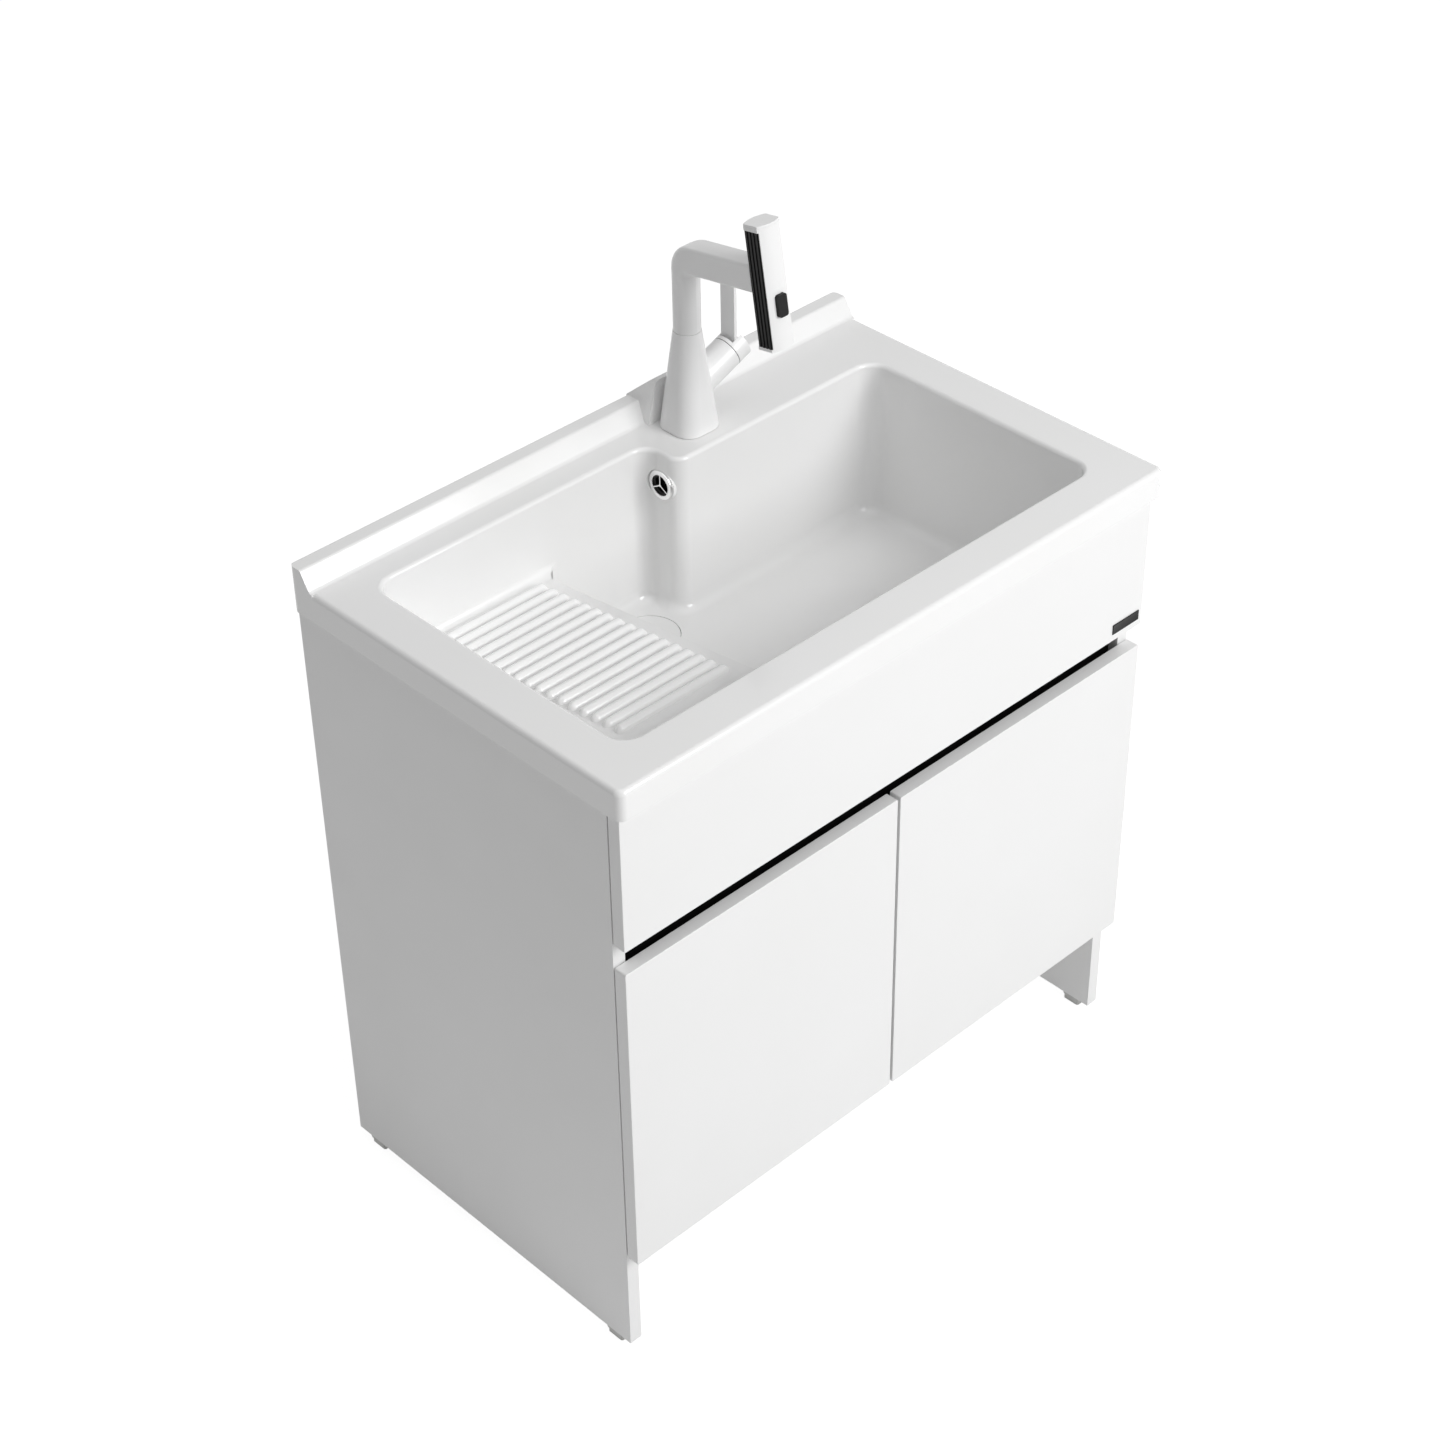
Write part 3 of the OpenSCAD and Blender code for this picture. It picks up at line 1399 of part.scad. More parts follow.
// Hinge arms with their plates, fixed to a side panel
module hinge_arms(s) {
    color(chrome_grey) for (z = hinge_heights()) translate([s * cab_in_x1, 0, z]) facing(s) {
        difference() {
            box([0, hinge_plate_y0, -hinge_plate_h / 2],
                [hinge_plate_t, hinge_plate_y0 + hinge_plate_len, hinge_plate_h / 2]);
            for (dz = [-1, 1])
                translate([-overrun, hinge_plate_y0 + hinge_plate_len / 2, dz * hinge_hole_gap / 2])
                    rotate([0, 90, 0]) cylinder(h = hinge_plate_t + 2 * overrun, d = hinge_hole_d);
        }
        box([hinge_plate_t, side_front_y + bumper_t, -hinge_arm_w / 2],
            [hinge_arm_t, hinge_plate_y0 + hinge_plate_len, hinge_arm_w / 2]);
    }
}

module hinge_arms_left() {
    hinge_arms(-1);
}

module hinge_arms_right() {
    hinge_arms(1);
}

module door_bumpers(s) {
    color(rubber_black) for (z = [door_z0 + 2 * bumper_in, door_z1 - 2 * bumper_in])
        translate([s * (cab_x1 - bumper_in), front_back_y, z]) rotate([-90, 0, 0])
            cylinder(h = bumper_t, d = bumper_d);
}

module door_bumpers_left() {
    door_bumpers(-1);
}

module door_bumpers_right() {
    door_bumpers(1);
}

module feet() {
    color(plastic_grey) for (s = [-1, 1], y = [foot_front_y, foot_back_y])
        translate([s * (cab_x1 - board_t / 2), y, 0]) {
            linear_extrude(foot_h - foot_collar)
                rounded_rect(foot_w - 2 * foot_in, foot_d - 2 * foot_in, foot_low_corner);
            translate([0, 0, foot_h - foot_collar]) linear_extrude(foot_collar)
                rounded_rect(foot_w, foot_d, foot_corner);
        }
}

basin();
drain_flange();
drain_cover();
cover_seal();
click_insert();
drain_seal();
waste_body();
tail_nut();
trap_body();
trap_cup();
cup_seal();
outlet_pipe();
outlet_nut();
wall_rosette();
overflow_ring();
overflow_throat();
overflow_web();
overflow_seal();
overflow_elbow();
overflow_pipe();
tap_body();
tap_gasket();
tap_shank();
clamp_washer();
clamp_nut();
mixer_cartridge();
cartridge_nut();
gap_ring();
handle_cap();
lever();
lever_pin();
spout();
swivel_ring();
spray_body();
spray_top_cap();
grip_strip();
spray_nozzle();
spray_button();
spray_shank();
side_panel_left();
side_panel_right();
bottom_panel();
back_rail_upper();
back_rail_lower();
front_panel();
panel_brackets();
grip_channel();
door_left();
door_right();
hinge_cups_left();
hinge_cups_right();
hinge_arms_left();
hinge_arms_right();
door_bumpers_left();
door_bumpers_right();
feet();
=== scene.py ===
import json
import math

import bpy
from mathutils import Matrix, Vector

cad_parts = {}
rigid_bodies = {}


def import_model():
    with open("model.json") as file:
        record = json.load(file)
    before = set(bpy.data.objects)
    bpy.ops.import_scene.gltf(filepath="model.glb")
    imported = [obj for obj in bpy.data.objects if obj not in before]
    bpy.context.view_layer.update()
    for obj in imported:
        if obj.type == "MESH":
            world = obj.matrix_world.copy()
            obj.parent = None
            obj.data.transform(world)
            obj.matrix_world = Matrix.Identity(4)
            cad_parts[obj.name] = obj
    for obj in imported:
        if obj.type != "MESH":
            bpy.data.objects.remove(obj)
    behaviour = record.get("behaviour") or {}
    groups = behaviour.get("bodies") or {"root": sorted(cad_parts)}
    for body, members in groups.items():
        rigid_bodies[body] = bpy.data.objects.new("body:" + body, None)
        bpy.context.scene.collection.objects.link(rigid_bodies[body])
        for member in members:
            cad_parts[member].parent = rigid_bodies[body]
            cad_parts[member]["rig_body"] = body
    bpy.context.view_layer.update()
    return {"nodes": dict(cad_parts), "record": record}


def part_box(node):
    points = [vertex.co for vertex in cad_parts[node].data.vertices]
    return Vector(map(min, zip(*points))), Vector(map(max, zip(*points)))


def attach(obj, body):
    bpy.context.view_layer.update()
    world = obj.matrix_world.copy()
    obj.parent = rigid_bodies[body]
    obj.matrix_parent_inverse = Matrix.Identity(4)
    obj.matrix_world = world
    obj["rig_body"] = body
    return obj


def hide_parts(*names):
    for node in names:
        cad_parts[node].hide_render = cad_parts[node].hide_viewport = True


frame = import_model()

# Looks of a ceramic laundry sink with a washboard, on a white two-door cabinet.
# Metres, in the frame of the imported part: +Z up, the user at -Y, the wall at +Y.

MM = 0.001

# Camera, solved from the straight edges of the basin and the cabinet
CAMERA_PLACE = (-1.8255, -1.8864, 2.5295)
CAMERA_TURN = math.radians(-43.572)
CAMERA_HEIGHT = math.radians(37.154)
CAMERA_ROLL = math.radians(-0.939)
CAMERA_LENS = 74.515
CAMERA_SENSOR = 36.0

# Studio
FLOOR_SIZE = 40.0
FLOOR_GREY = 0.85
FLOOR_SHADE_SHARE = 0.3
FLOOR_GLOW = 0.9
WORLD_FILL = 0.31
KEY_POWER = 106.0
KEY_SIZE = 2.2
KEY_PLACE = (0.9, -3.4, 2.75)
TOP_POWER = 15.0
TOP_SIZE = 2.6
TOP_PLACE = (0.0, -0.3, 3.6)
AIM = (0.0, 0.0, 0.75)

# Washboard: its plane, the field of its ribs, and its free edge above the deep bowl
BOARD_SLOPE = math.radians(7.4)
BOARD_BACK_Y = 183 * MM
BOARD_BACK_Z = 702 * MM
BOARD_FREE_X = -118 * MM
RIBS_X = (-288 * MM, -131 * MM)
RIB_BACK = 21.6 * MM
RIB_PITCH = 17.5 * MM
RIB_COUNT = 17
RIB_TOP = 4.2 * MM
RIB_HALF = 8.1 * MM
RIB_RAISE = 1.7
RIB_NARROW = 0.84
FREE_EASE = 2.5 * MM
NEAR = 0.02 * MM

# Three-armed web of the overflow, thinned in the finished copy
WEB_HUB_R = 3.3 * MM
WEB_HUB_SHARE = 0.55
WEB_RIM_IN_R = 12.2 * MM
WEB_RIM_SHARE = 1.065
WEB_ARMS = [math.radians(turn) for turn in (90, -30, -150)]
WEB_ARM_REACH = math.radians(6.5)
WEB_ARM_SHARE = 0.5

# Dark ring in the gap between the tap's slanting hub and its turning cap
HUB_RISE = math.radians(22.5)
GAP_RING_IN = 15 * MM
GAP_RING_GROW = 1.038

# Eased edges, smoothing and welding of the finished copies
BOARD_EASE = 0.7 * MM
LEVER_EASE = 0.8 * MM
TRIM_EASE = 0.4 * MM
EASE_SEGMENTS = 3
EASE_ANGLE = math.radians(30)
SMOOTH_ANGLE = math.radians(32)
FLAT_ANGLE = math.radians(0.3)
WELD = 0.002 * MM

# Bare plate on the front panel
PLATE_W = 44 * MM
PLATE_H = 12.5 * MM
PLATE_T = 1.2 * MM
PLATE_EDGE = 0.4 * MM
PLATE_EASE = 0.24 * MM
PLATE_RIGHT_IN = 6 * MM
PLATE_UP = 9.5 * MM

# Screws, with the sizes of the hinges and brackets that they hold
SCREW_R = 4.2 * MM
SCREW_H = 1.6 * MM
SCREW_SLOT = 1.0 * MM
SCREW_SIDES = 24
DOME_STEP_SHARE = 0.3
DOME_RISE_SHARES = (0.2, 0.08)
CROSS_UP_SHARE = 1.28
CROSS_LONG_SHARE = 1.15
CROSS_DEEP_SHARE = 1.2
HINGE_HOLE_GAP = 32 * MM
HINGE_PLATE_T = 3 * MM
HINGE_PLATE_MID = 20 * MM
HINGE_PLATE_HALF = 22 * MM
CUP_SCREW_GAP = 48 * MM
CUP_SCREW_R = 3.0 * MM
CUP_HALF = 31 * MM
BRACKET_T = 2 * MM
BRACKET_HALF = 12 * MM
BRACKET_HOLE_IN = 19 * MM

# Jets of the spray plate
HEAD_TILT = math.radians(9.3)
JET_PITCH = 4 * MM
JET_R = 1.3 * MM
JET_DOWN = 2 * MM
JET_RING_SHARE = 0.32
JET_COLUMNS = range(-2, 3)
JET_ROWS = range(-1, 2)

# Middle part of a noise that the finishes stretch over their range
NOISE_MIDDLE = (0.3, 0.7)


# Helpers that work as by hand

def deselect():
    for piece in list(bpy.context.selected_objects):
        piece.select_set(False)


def only(piece):
    deselect()
    piece.select_set(True)
    bpy.context.view_layer.objects.active = piece


def edit(piece, kind="FACE"):
    only(piece)
    bpy.ops.object.mode_set(mode="EDIT")
    bpy.ops.mesh.select_mode(type=kind)


def done():
    bpy.ops.object.mode_set(mode="OBJECT")


def pick_faces(piece, test):
    """Selects the faces whose normal passes a test, in edit mode."""
    bpy.ops.mesh.select_all(action="DESELECT")
    bpy.ops.object.mode_set(mode="OBJECT")
    for face in piece.data.polygons:
        face.select = test(face.normal)
    bpy.ops.object.mode_set(mode="EDIT")


def settle(piece):
    """Puts a finished piece's place into its mesh."""
    piece.data.transform(piece.matrix_world)
    piece.matrix_world = Matrix.Identity(4)


def bevelled(piece, width):
    only(piece)
    ease = piece.modifiers.new("ease", "BEVEL")
    ease.width = width
    ease.segments = EASE_SEGMENTS
    ease.limit_method = "ANGLE"
    ease.angle_limit = EASE_ANGLE
    bpy.ops.object.modifier_apply(modifier=ease.name)


def body_of(node):
    return frame["nodes"][node]["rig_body"]


# Shader node groups shared by the finishes

def new_group(name, inputs, outputs):
    group = bpy.data.node_groups.new(name, "ShaderNodeTree")
    for label, kind, value in inputs:
        socket = group.interface.new_socket(name=label, in_out="INPUT", socket_type=kind)
        socket.default_value = value
    for label, kind in outputs:
        group.interface.new_socket(name=label, in_out="OUTPUT", socket_type=kind)
    return group, group.nodes.new("NodeGroupInput"), group.nodes.new("NodeGroupOutput")


def noise_node(group, source, scale, detail):
    noise = group.nodes.new("ShaderNodeTexNoise")
    noise.inputs["Detail"].default_value = detail
    group.links.new(source, noise.inputs["Vector"])
    group.links.new(scale, noise.inputs["Scale"])
    return noise


def spread(group, value, low, high):
    """Stretches the middle of a noise over the range from low to high."""
    span = group.nodes.new("ShaderNodeMapRange")
    span.inputs["From Min"].default_value = NOISE_MIDDLE[0]
    span.inputs["From Max"].default_value = NOISE_MIDDLE[1]
    group.links.new(value, span.inputs["Value"])
    group.links.new(low, span.inputs["To Min"])
    group.links.new(high, span.inputs["To Max"])
    return span.outputs["Result"]


def tone_drift_group():
    """Slow change of colour over a surface, as glaze and paint have."""
    group, start, end = new_group("tone_drift", [
        ("Colour", "NodeSocketColor", (0.9, 0.9, 0.9, 1)),
        ("Second Colour", "NodeSocketColor", (0.85, 0.85, 0.85, 1)),
        ("Scale", "NodeSocketFloat", 6.0),
        ("Amount", "NodeSocketFloat", 1.0),
    ], [("Colour", "NodeSocketColor")])
    place = group.nodes.new("ShaderNodeTexCoord")
    noise = noise_node(group, place.outputs["Object"], start.outputs["Scale"], 3.0)
    zero = group.nodes.new("ShaderNodeValue")
    zero.outputs[0].default_value = 0.0
    share = spread(group, noise.outputs["Fac"], zero.outputs[0], start.outputs["Amount"])
    mix = group.nodes.new("ShaderNodeMix")
    mix.data_type = "RGBA"
    group.links.new(share, mix.inputs["Factor"])
    group.links.new(start.outputs["Colour"], mix.inputs["A"])
    group.links.new(start.outputs["Second Colour"], mix.inputs["B"])
    group.links.new(mix.outputs["Result"], end.inputs["Colour"])
    return group


def handling_group():
    """Uneven gloss left by wiping and handling."""
    group, start, end = new_group("handling", [
        ("Scale", "NodeSocketFloat", 18.0),
        ("Low", "NodeSocketFloat", 0.2),
        ("High", "NodeSocketFloat", 0.3),
    ], [("Roughness", "NodeSocketFloat")])
    place = group.nodes.new("ShaderNodeTexCoord")
    noise = noise_node(group, place.outputs["Object"], start.outputs["Scale"], 5.0)
    value = spread(group, noise.outputs["Fac"], start.outputs["Low"], start.outputs["High"])
    group.links.new(value, end.inputs["Roughness"])
    return group


def fine_grain_group():
    """Height of a fine surface texture: glaze ripple, paint peel or moulded plastic."""
    group, start, end = new_group("fine_grain", [
        ("Scale", "NodeSocketFloat", 300.0),
        ("Coarse Scale", "NodeSocketFloat", 40.0),
        ("Coarse Share", "NodeSocketFloat", 0.4),
    ], [("Height", "NodeSocketFloat")])
    place = group.nodes.new("ShaderNodeTexCoord")
    fine = noise_node(group, place.outputs["Object"], start.outputs["Scale"], 2.0)
    coarse = noise_node(group, place.outputs["Object"], start.outputs["Coarse Scale"], 2.0)
    mix = group.nodes.new("ShaderNodeMix")
    mix.data_type = "FLOAT"
    group.links.new(start.outputs["Coarse Share"], mix.inputs["Factor"])
    group.links.new(fine.outputs["Fac"], mix.inputs["A"])
    group.links.new(coarse.outputs["Fac"], mix.inputs["B"])
    group.links.new(mix.outputs["Result"], end.inputs["Height"])
    return group


def brushed_group():
    """Fine lines along one direction, for rolled and turned metal."""
    group, start, end = new_group("brushed", [
        ("Stretch", "NodeSocketVector", (40.0, 900.0, 900.0)),
        ("Low", "NodeSocketFloat", 0.25),
        ("High", "NodeSocketFloat", 0.4),
    ], [("Roughness", "NodeSocketFloat"), ("Height", "NodeSocketFloat")])
    place = group.nodes.new("ShaderNodeTexCoord")
    stretch = group.nodes.new("ShaderNodeVectorMath")
    stretch.operation = "MULTIPLY"
    noise = group.nodes.new("ShaderNodeTexNoise")
    noise.inputs["Scale"].default_value = 1.0
    noise.inputs["Detail"].default_value = 3.0
    group.links.new(place.outputs["Object"], stretch.inputs[0])
    group.links.new(start.outputs["Stretch"], stretch.inputs[1])
    group.links.new(stretch.outputs["Vector"], noise.inputs["Vector"])
    value = spread(group, noise.outputs["Fac"], start.outputs["Low"], start.outputs["High"])
    group.links.new(value, end.inputs["Roughness"])
    group.links.new(noise.outputs["Fac"], end.inputs["Height"])
    return group


GROUPS = {
    "tone_drift": tone_drift_group(),
    "handling": handling_group(),
    "fine_grain": fine_grain_group(),
    "brushed": brushed_group(),
}


def place_group(material, name, **values):
    node = material.node_tree.nodes.new("ShaderNodeGroup")
    node.node_tree = GROUPS[name]
    for label, value in values.items():
        node.inputs[label.replace("_", " ")].default_value = value
    return node


def new_finish(name, metallic=0.0, ior=1.5, coat=0.0, coat_roughness=0.05):
    material = bpy.data.materials.new(name)
    material.use_nodes = True
    shader = material.node_tree.nodes["Principled BSDF"]
    shader.inputs["Metallic"].default_value = metallic
    shader.inputs["IOR"].default_value = ior
    shader.inputs["Coat Weight"].default_value = coat
    shader.inputs["Coat Roughness"].default_value = coat_roughness
    return material, shader


def grey(value, warm=0.0):
    return (value, value, value * (1 - warm), 1.0)


def dress(material, shader, colour, second, drift, gloss, grain, depth):
    """Colour drift, uneven gloss and a fine texture on one shader."""
    links = material.node_tree.links
    tone = place_group(material, "tone_drift", Colour=colour, Second_Colour=second, Scale=drift)
    links.new(tone.outputs["Colour"], shader.inputs["Base Color"])
    marks = place_group(material, "handling", Scale=gloss[0], Low=gloss[1], High=gloss[2])
    links.new(marks.outputs["Roughness"], shader.inputs["Roughness"])
    peel = place_group(material, "fine_grain",
                       Scale=grain[0], Coarse_Scale=grain[1], Coarse_Share=grain[2])
    bump = material.node_tree.nodes.new("ShaderNodeBump")
    bump.inputs["Strength"].default_value = 1.0
    bump.inputs["Distance"].default_value = depth
    links.new(peel.outputs["Height"], bump.inputs["Height"])
    links.new(bump.outputs["Normal"], shader.inputs["Normal"])
    return material


def glazed_ceramic():
    material, shader = new_finish("glazed_ceramic", ior=1.52, coat=0.25, coat_roughness=0.04)
    return dress(material, shader, grey(0.90), grey(0.885, 0.006), 5.0,
                 (9.0, 0.13, 0.19), (90.0, 14.0, 0.6), 0.05 * MM)


def lacquered_board():
    material, shader = new_finish("lacquered_board", coat=0.1, coat_roughness=0.2)
    return dress(material, shader, grey(0.885), grey(0.87, 0.004), 4.0,
                 (14.0, 0.34, 0.42), (700.0, 60.0, 0.3), 0.02 * MM)


def satin_paint():
    material, shader = new_finish("satin_paint", coat=0.15, coat_roughness=0.12)
    return dress(material, shader, grey(0.885), grey(0.88), 6.0,
                 (12.0, 0.28, 0.31), (1400.0, 200.0, 0.3), 0.003 * MM)


def chrome_plate():
    material, shader = new_finish("chrome_plate", metallic=1.0)
    return dress(material, shader, grey(0.90), grey(0.87), 30.0,
                 (60.0, 0.06, 0.12), (500.0, 80.0, 0.5), 0.004 * MM)


def zinc_plate():
    material, shader = new_finish("zinc_plate", metallic=1.0)
    links = material.node_tree.links
    tone = place_group(material, "tone_drift", Colour=(0.62, 0.64, 0.66, 1),
                       Second_Colour=(0.52, 0.54, 0.57, 1), Scale=60.0)
    links.new(tone.outputs["Colour"], shader.inputs["Base Color"])
    lines = place_group(material, "brushed", Stretch=(900.0, 60.0, 900.0), Low=0.28, High=0.42)
    links.new(lines.outputs["Roughness"], shader.inputs["Roughness"])
    bump = material.node_tree.nodes.new("ShaderNodeBump")
    bump.inputs["Distance"].default_value = 0.01 * MM
    links.new(lines.outputs["Height"], bump.inputs["Height"])
    links.new(bump.outputs["Normal"], shader.inputs["Normal"])
    return material


def pipe_plastic():
    material, shader = new_finish("pipe_plastic", ior=1.49)
    return dress(material, shader, grey(0.66, 0.02), grey(0.62, 0.03), 10.0,
                 (25.0, 0.38, 0.5), (900.0, 120.0, 0.3), 0.02 * MM)


def black_plastic():
    material, shader = new_finish("black_plastic", ior=1.3)
    return dress(material, shader, grey(0.006), grey(0.009), 30.0,
                 (60.0, 0.3, 0.4), (1600.0, 300.0, 0.3), 0.02 * MM)


def seal_rubber():
    material, shader = new_finish("seal_rubber", ior=1.45)
    return dress(material, shader, grey(0.03), grey(0.045), 40.0,
                 (80.0, 0.6, 0.75), (1800.0, 300.0, 0.3), 0.02 * MM)


FINISHES = {
    "glazed_ceramic": glazed_ceramic(),
    "lacquered_board": lacquered_board(),
    "tap_white": satin_paint(),
    "chrome": chrome_plate(),
    "zinc": zinc_plate(),
    "grey_plastic": pipe_plastic(),
    "black_plastic": black_plastic(),
    "rubber": seal_rubber(),
}


def set_finish(piece, slot_name):
    piece.data.materials.clear()
    piece.data.materials.append(FINISHES[slot_name])


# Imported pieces, with their own finishes

SLOT_OF = {row["node"]: row["material_slot"] for row in frame["record"]["subparts"]}


def finish_nodes():
    for name, node in frame["nodes"].items():
        set_finish(node, SLOT_OF[name])


def finished_copy(name, ease=None, shape=None):
    """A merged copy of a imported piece, shaped, eased and smoothed, which stands for it."""
    piece = bpy.data.objects.new(name + "_finished", frame["nodes"][name].data.copy())
    bpy.context.scene.collection.objects.link(piece)
    edit(piece, "VERT")
    bpy.ops.mesh.select_all(action="SELECT")
    bpy.ops.mesh.remove_doubles(threshold=WELD)
    bpy.ops.mesh.customdata_custom_splitnormals_clear()
    bpy.ops.mesh.select_mode(type="EDGE")
    bpy.ops.mesh.select_all(action="SELECT")
    bpy.ops.mesh.dissolve_limited(angle_limit=FLAT_ANGLE)
    done()
    if shape:
        shape(piece)
    if ease:
        bevelled(piece, ease)
    only(piece)
    bpy.ops.object.shade_smooth_by_angle(angle=SMOOTH_ANGLE)
    if "normals" not in piece.modifiers:
        even = piece.modifiers.new("even", "WEIGHTED_NORMAL")
        even.keep_sharp = True
        bpy.ops.object.modifier_apply(modifier=even.name)
    set_finish(piece, SLOT_OF[name])
    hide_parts(name)
    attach(piece, body_of(name))
    return piece


def board_place(point):
    """A point's distance down the washboard from its back edge, and its height above the board."""
    rel = point - Vector((0, BOARD_BACK_Y, BOARD_BACK_Z))
    c, s = math.cos(BOARD_SLOPE), math.sin(BOARD_SLOPE)
    return -rel.y * c + rel.z * s, rel.y * s + rel.z * c


def shape_washboard(piece):
    """Makes the ribs higher and narrower, so that shadow lies between them, and rounds the free edge."""
    c, s = math.cos(BOARD_SLOPE), math.sin(BOARD_SLOPE)
    along, across = Vector((0, -c, s)), Vector((0, s, c))
    for vertex in piece.data.vertices:
        far, up = board_place(vertex.co)
        rib = round((far * c - RIB_BACK) / RIB_PITCH)
        off = far - (RIB_BACK + rib * RIB_PITCH) / c
        beside = RIBS_X[0] < vertex.co.x < RIBS_X[1] and 0 <= rib < RIB_COUNT
        if beside and abs(off) < RIB_HALF and -NEAR < up < RIB_TOP:
            vertex.co += across * up * (RIB_RAISE - 1) + along * off * (RIB_NARROW - 1)
    edit(piece, "EDGE")
    bpy.ops.mesh.select_all(action="DESELECT")
    bpy.ops.object.mode_set(mode="OBJECT")
    points = piece.data.vertices
    for edge in piece.data.edges:
        ends = [points[i].co for i in edge.vertices]
        edge.select = all(abs(end.x - BOARD_FREE_X) < NEAR and abs(board_place(end)[1]) < NEAR
                          for end in ends)
    bpy.ops.object.mode_set(mode="EDIT")
    bpy.ops.mesh.bevel(offset=FREE_EASE, segments=EASE_SEGMENTS, affect="EDGES", clamp_overlap=True)
    done()


EASED_BOARDS = ["front_panel", "door_left", "door_right", "side_panel_left", "side_panel_right",
                "bottom_panel", "back_rail_upper", "back_rail_lower"]


def finish_boards():
    for name in EASED_BOARDS:
        finished_copy(name, BOARD_EASE)


def shape_web(piece):
    """Thins the arms, the hub and the rim of the overflow's web."""
    low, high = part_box("overflow_web")
    centre = (low + high) / 2
    for vertex in piece.data.vertices:
        y, z = vertex.co.y - centre.y, vertex.co.z - centre.z
        r, turn = math.hypot(y, z), math.atan2(z, y)
        if r < WEB_HUB_R:
            r *= WEB_HUB_SHARE
        elif r < WEB_RIM_IN_R:
            r *= WEB_RIM_SHARE
            for arm in WEB_ARMS:
                off = math.remainder(turn - arm, math.tau)
                if abs(off) < WEB_ARM_REACH:
                    turn = arm + off * WEB_ARM_SHARE
                    break
        vertex.co.y = centre.y + r * math.cos(turn)
        vertex.co.z = centre.z + r * math.sin(turn)


def shape_gap_ring(piece):
    """Brings the ring's outside flush with the hub and the cap."""
    low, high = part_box("gap_ring")
    centre = (low + high) / 2
    axis = Vector((math.cos(HUB_RISE), 0, math.sin(HUB_RISE)))
    for vertex in piece.data.vertices:
        rel = vertex.co - centre
        radial = rel - axis * rel.dot(axis)
        if radial.length > GAP_RING_IN:
            vertex.co += radial * (GAP_RING_GROW - 1)


def finish_tap():
    finished_copy("gap_ring", shape=shape_gap_ring)
    finished_copy("lever", LEVER_EASE)
    finished_copy("spray_top_cap", TRIM_EASE)
    for name in ["tap_body", "spout", "handle_cap", "spray_body"]:
        finished_copy(name)


# Small fittings

def screw_mesh(r, h, slot):
    """A domed screw head with a cross recess, on z = 0."""
    deselect()
    bpy.ops.mesh.primitive_cylinder_add(vertices=SCREW_SIDES, radius=r, depth=h, location=(0, 0, h / 2))
    head = bpy.context.object
    edit(head)
    pick_faces(head, lambda normal: normal.z > 0.9)
    for rise in DOME_RISE_SHARES:
        bpy.ops.mesh.inset(thickness=r * DOME_STEP_SHARE)
        bpy.ops.transform.translate(value=(0, 0, h * rise))
    done()
    settle(head)
    for turn in (0, math.pi / 2):
        deselect()
        bpy.ops.mesh.primitive_cube_add(size=1, location=(0, 0, h * CROSS_UP_SHARE))
        bar = bpy.context.object
        bar.data.transform(Matrix.Diagonal((CROSS_LONG_SHARE * r, slot, CROSS_DEEP_SHARE * h, 1.0)))
        bar.data.transform(Matrix.Rotation(turn, 4, "Z"))
        settle(bar)
        only(head)
        cut = head.modifiers.new("cross", "BOOLEAN")
        cut.object = bar
        cut.operation = "DIFFERENCE"
        bpy.ops.object.modifier_apply(modifier=cut.name)
        bpy.data.objects.remove(bar)
    only(head)
    bpy.ops.object.shade_smooth_by_angle(angle=SMOOTH_ANGLE)
    mesh = head.data.copy()
    bpy.data.objects.remove(head)
    return mesh


def put_screws(name, mesh, places, towards, body):
    """One piece made of copies of a screw head, each turned to look along towards."""
    turn = Vector((0, 0, 1)).rotation_difference(Vector(towards)).to_matrix().to_4x4()
    heads = []
    deselect()
    for place in places:
        head = bpy.data.objects.new(name, mesh.copy())
        head.data.transform(Matrix.Translation(place) @ turn)
        bpy.context.scene.collection.objects.link(head)
        head.select_set(True)
        heads.append(head)
    bpy.context.view_layer.objects.active = heads[0]
    bpy.ops.object.join()
    piece = bpy.context.object
    piece.name = name
    set_finish(piece, "zinc")
    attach(piece, body)
    return piece


def hinge_screws():
    large = screw_mesh(SCREW_R, SCREW_H, SCREW_SLOT)
    small = screw_mesh(CUP_SCREW_R, SCREW_H, SCREW_SLOT)
    for side, sign in (("left", 1), ("right", -1)):
        low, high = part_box("hinge_arms_" + side)
        cup_low, cup_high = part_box("hinge_cups_" + side)
        face_x = low.x + HINGE_PLATE_T if sign > 0 else high.x - HINGE_PLATE_T
        y = high.y - HINGE_PLATE_MID
        heights = [low.z + HINGE_PLATE_HALF, high.z - HINGE_PLATE_HALF]
        places = [Vector((face_x, y, z + s * HINGE_HOLE_GAP / 2)) for z in heights for s in (-1, 1)]
        put_screws("hinge_screws_" + side, large, places, (sign, 0, 0), "cabinet")
        x = (cup_low.x + cup_high.x) / 2
        rows = [cup_low.z + CUP_HALF, cup_high.z - CUP_HALF]
        places = [Vector((x, cup_high.y, z + s * CUP_SCREW_GAP / 2)) for z in rows for s in (-1, 1)]
        put_screws("cup_screws_" + side, small, places, (0, 1, 0), side + "_door")


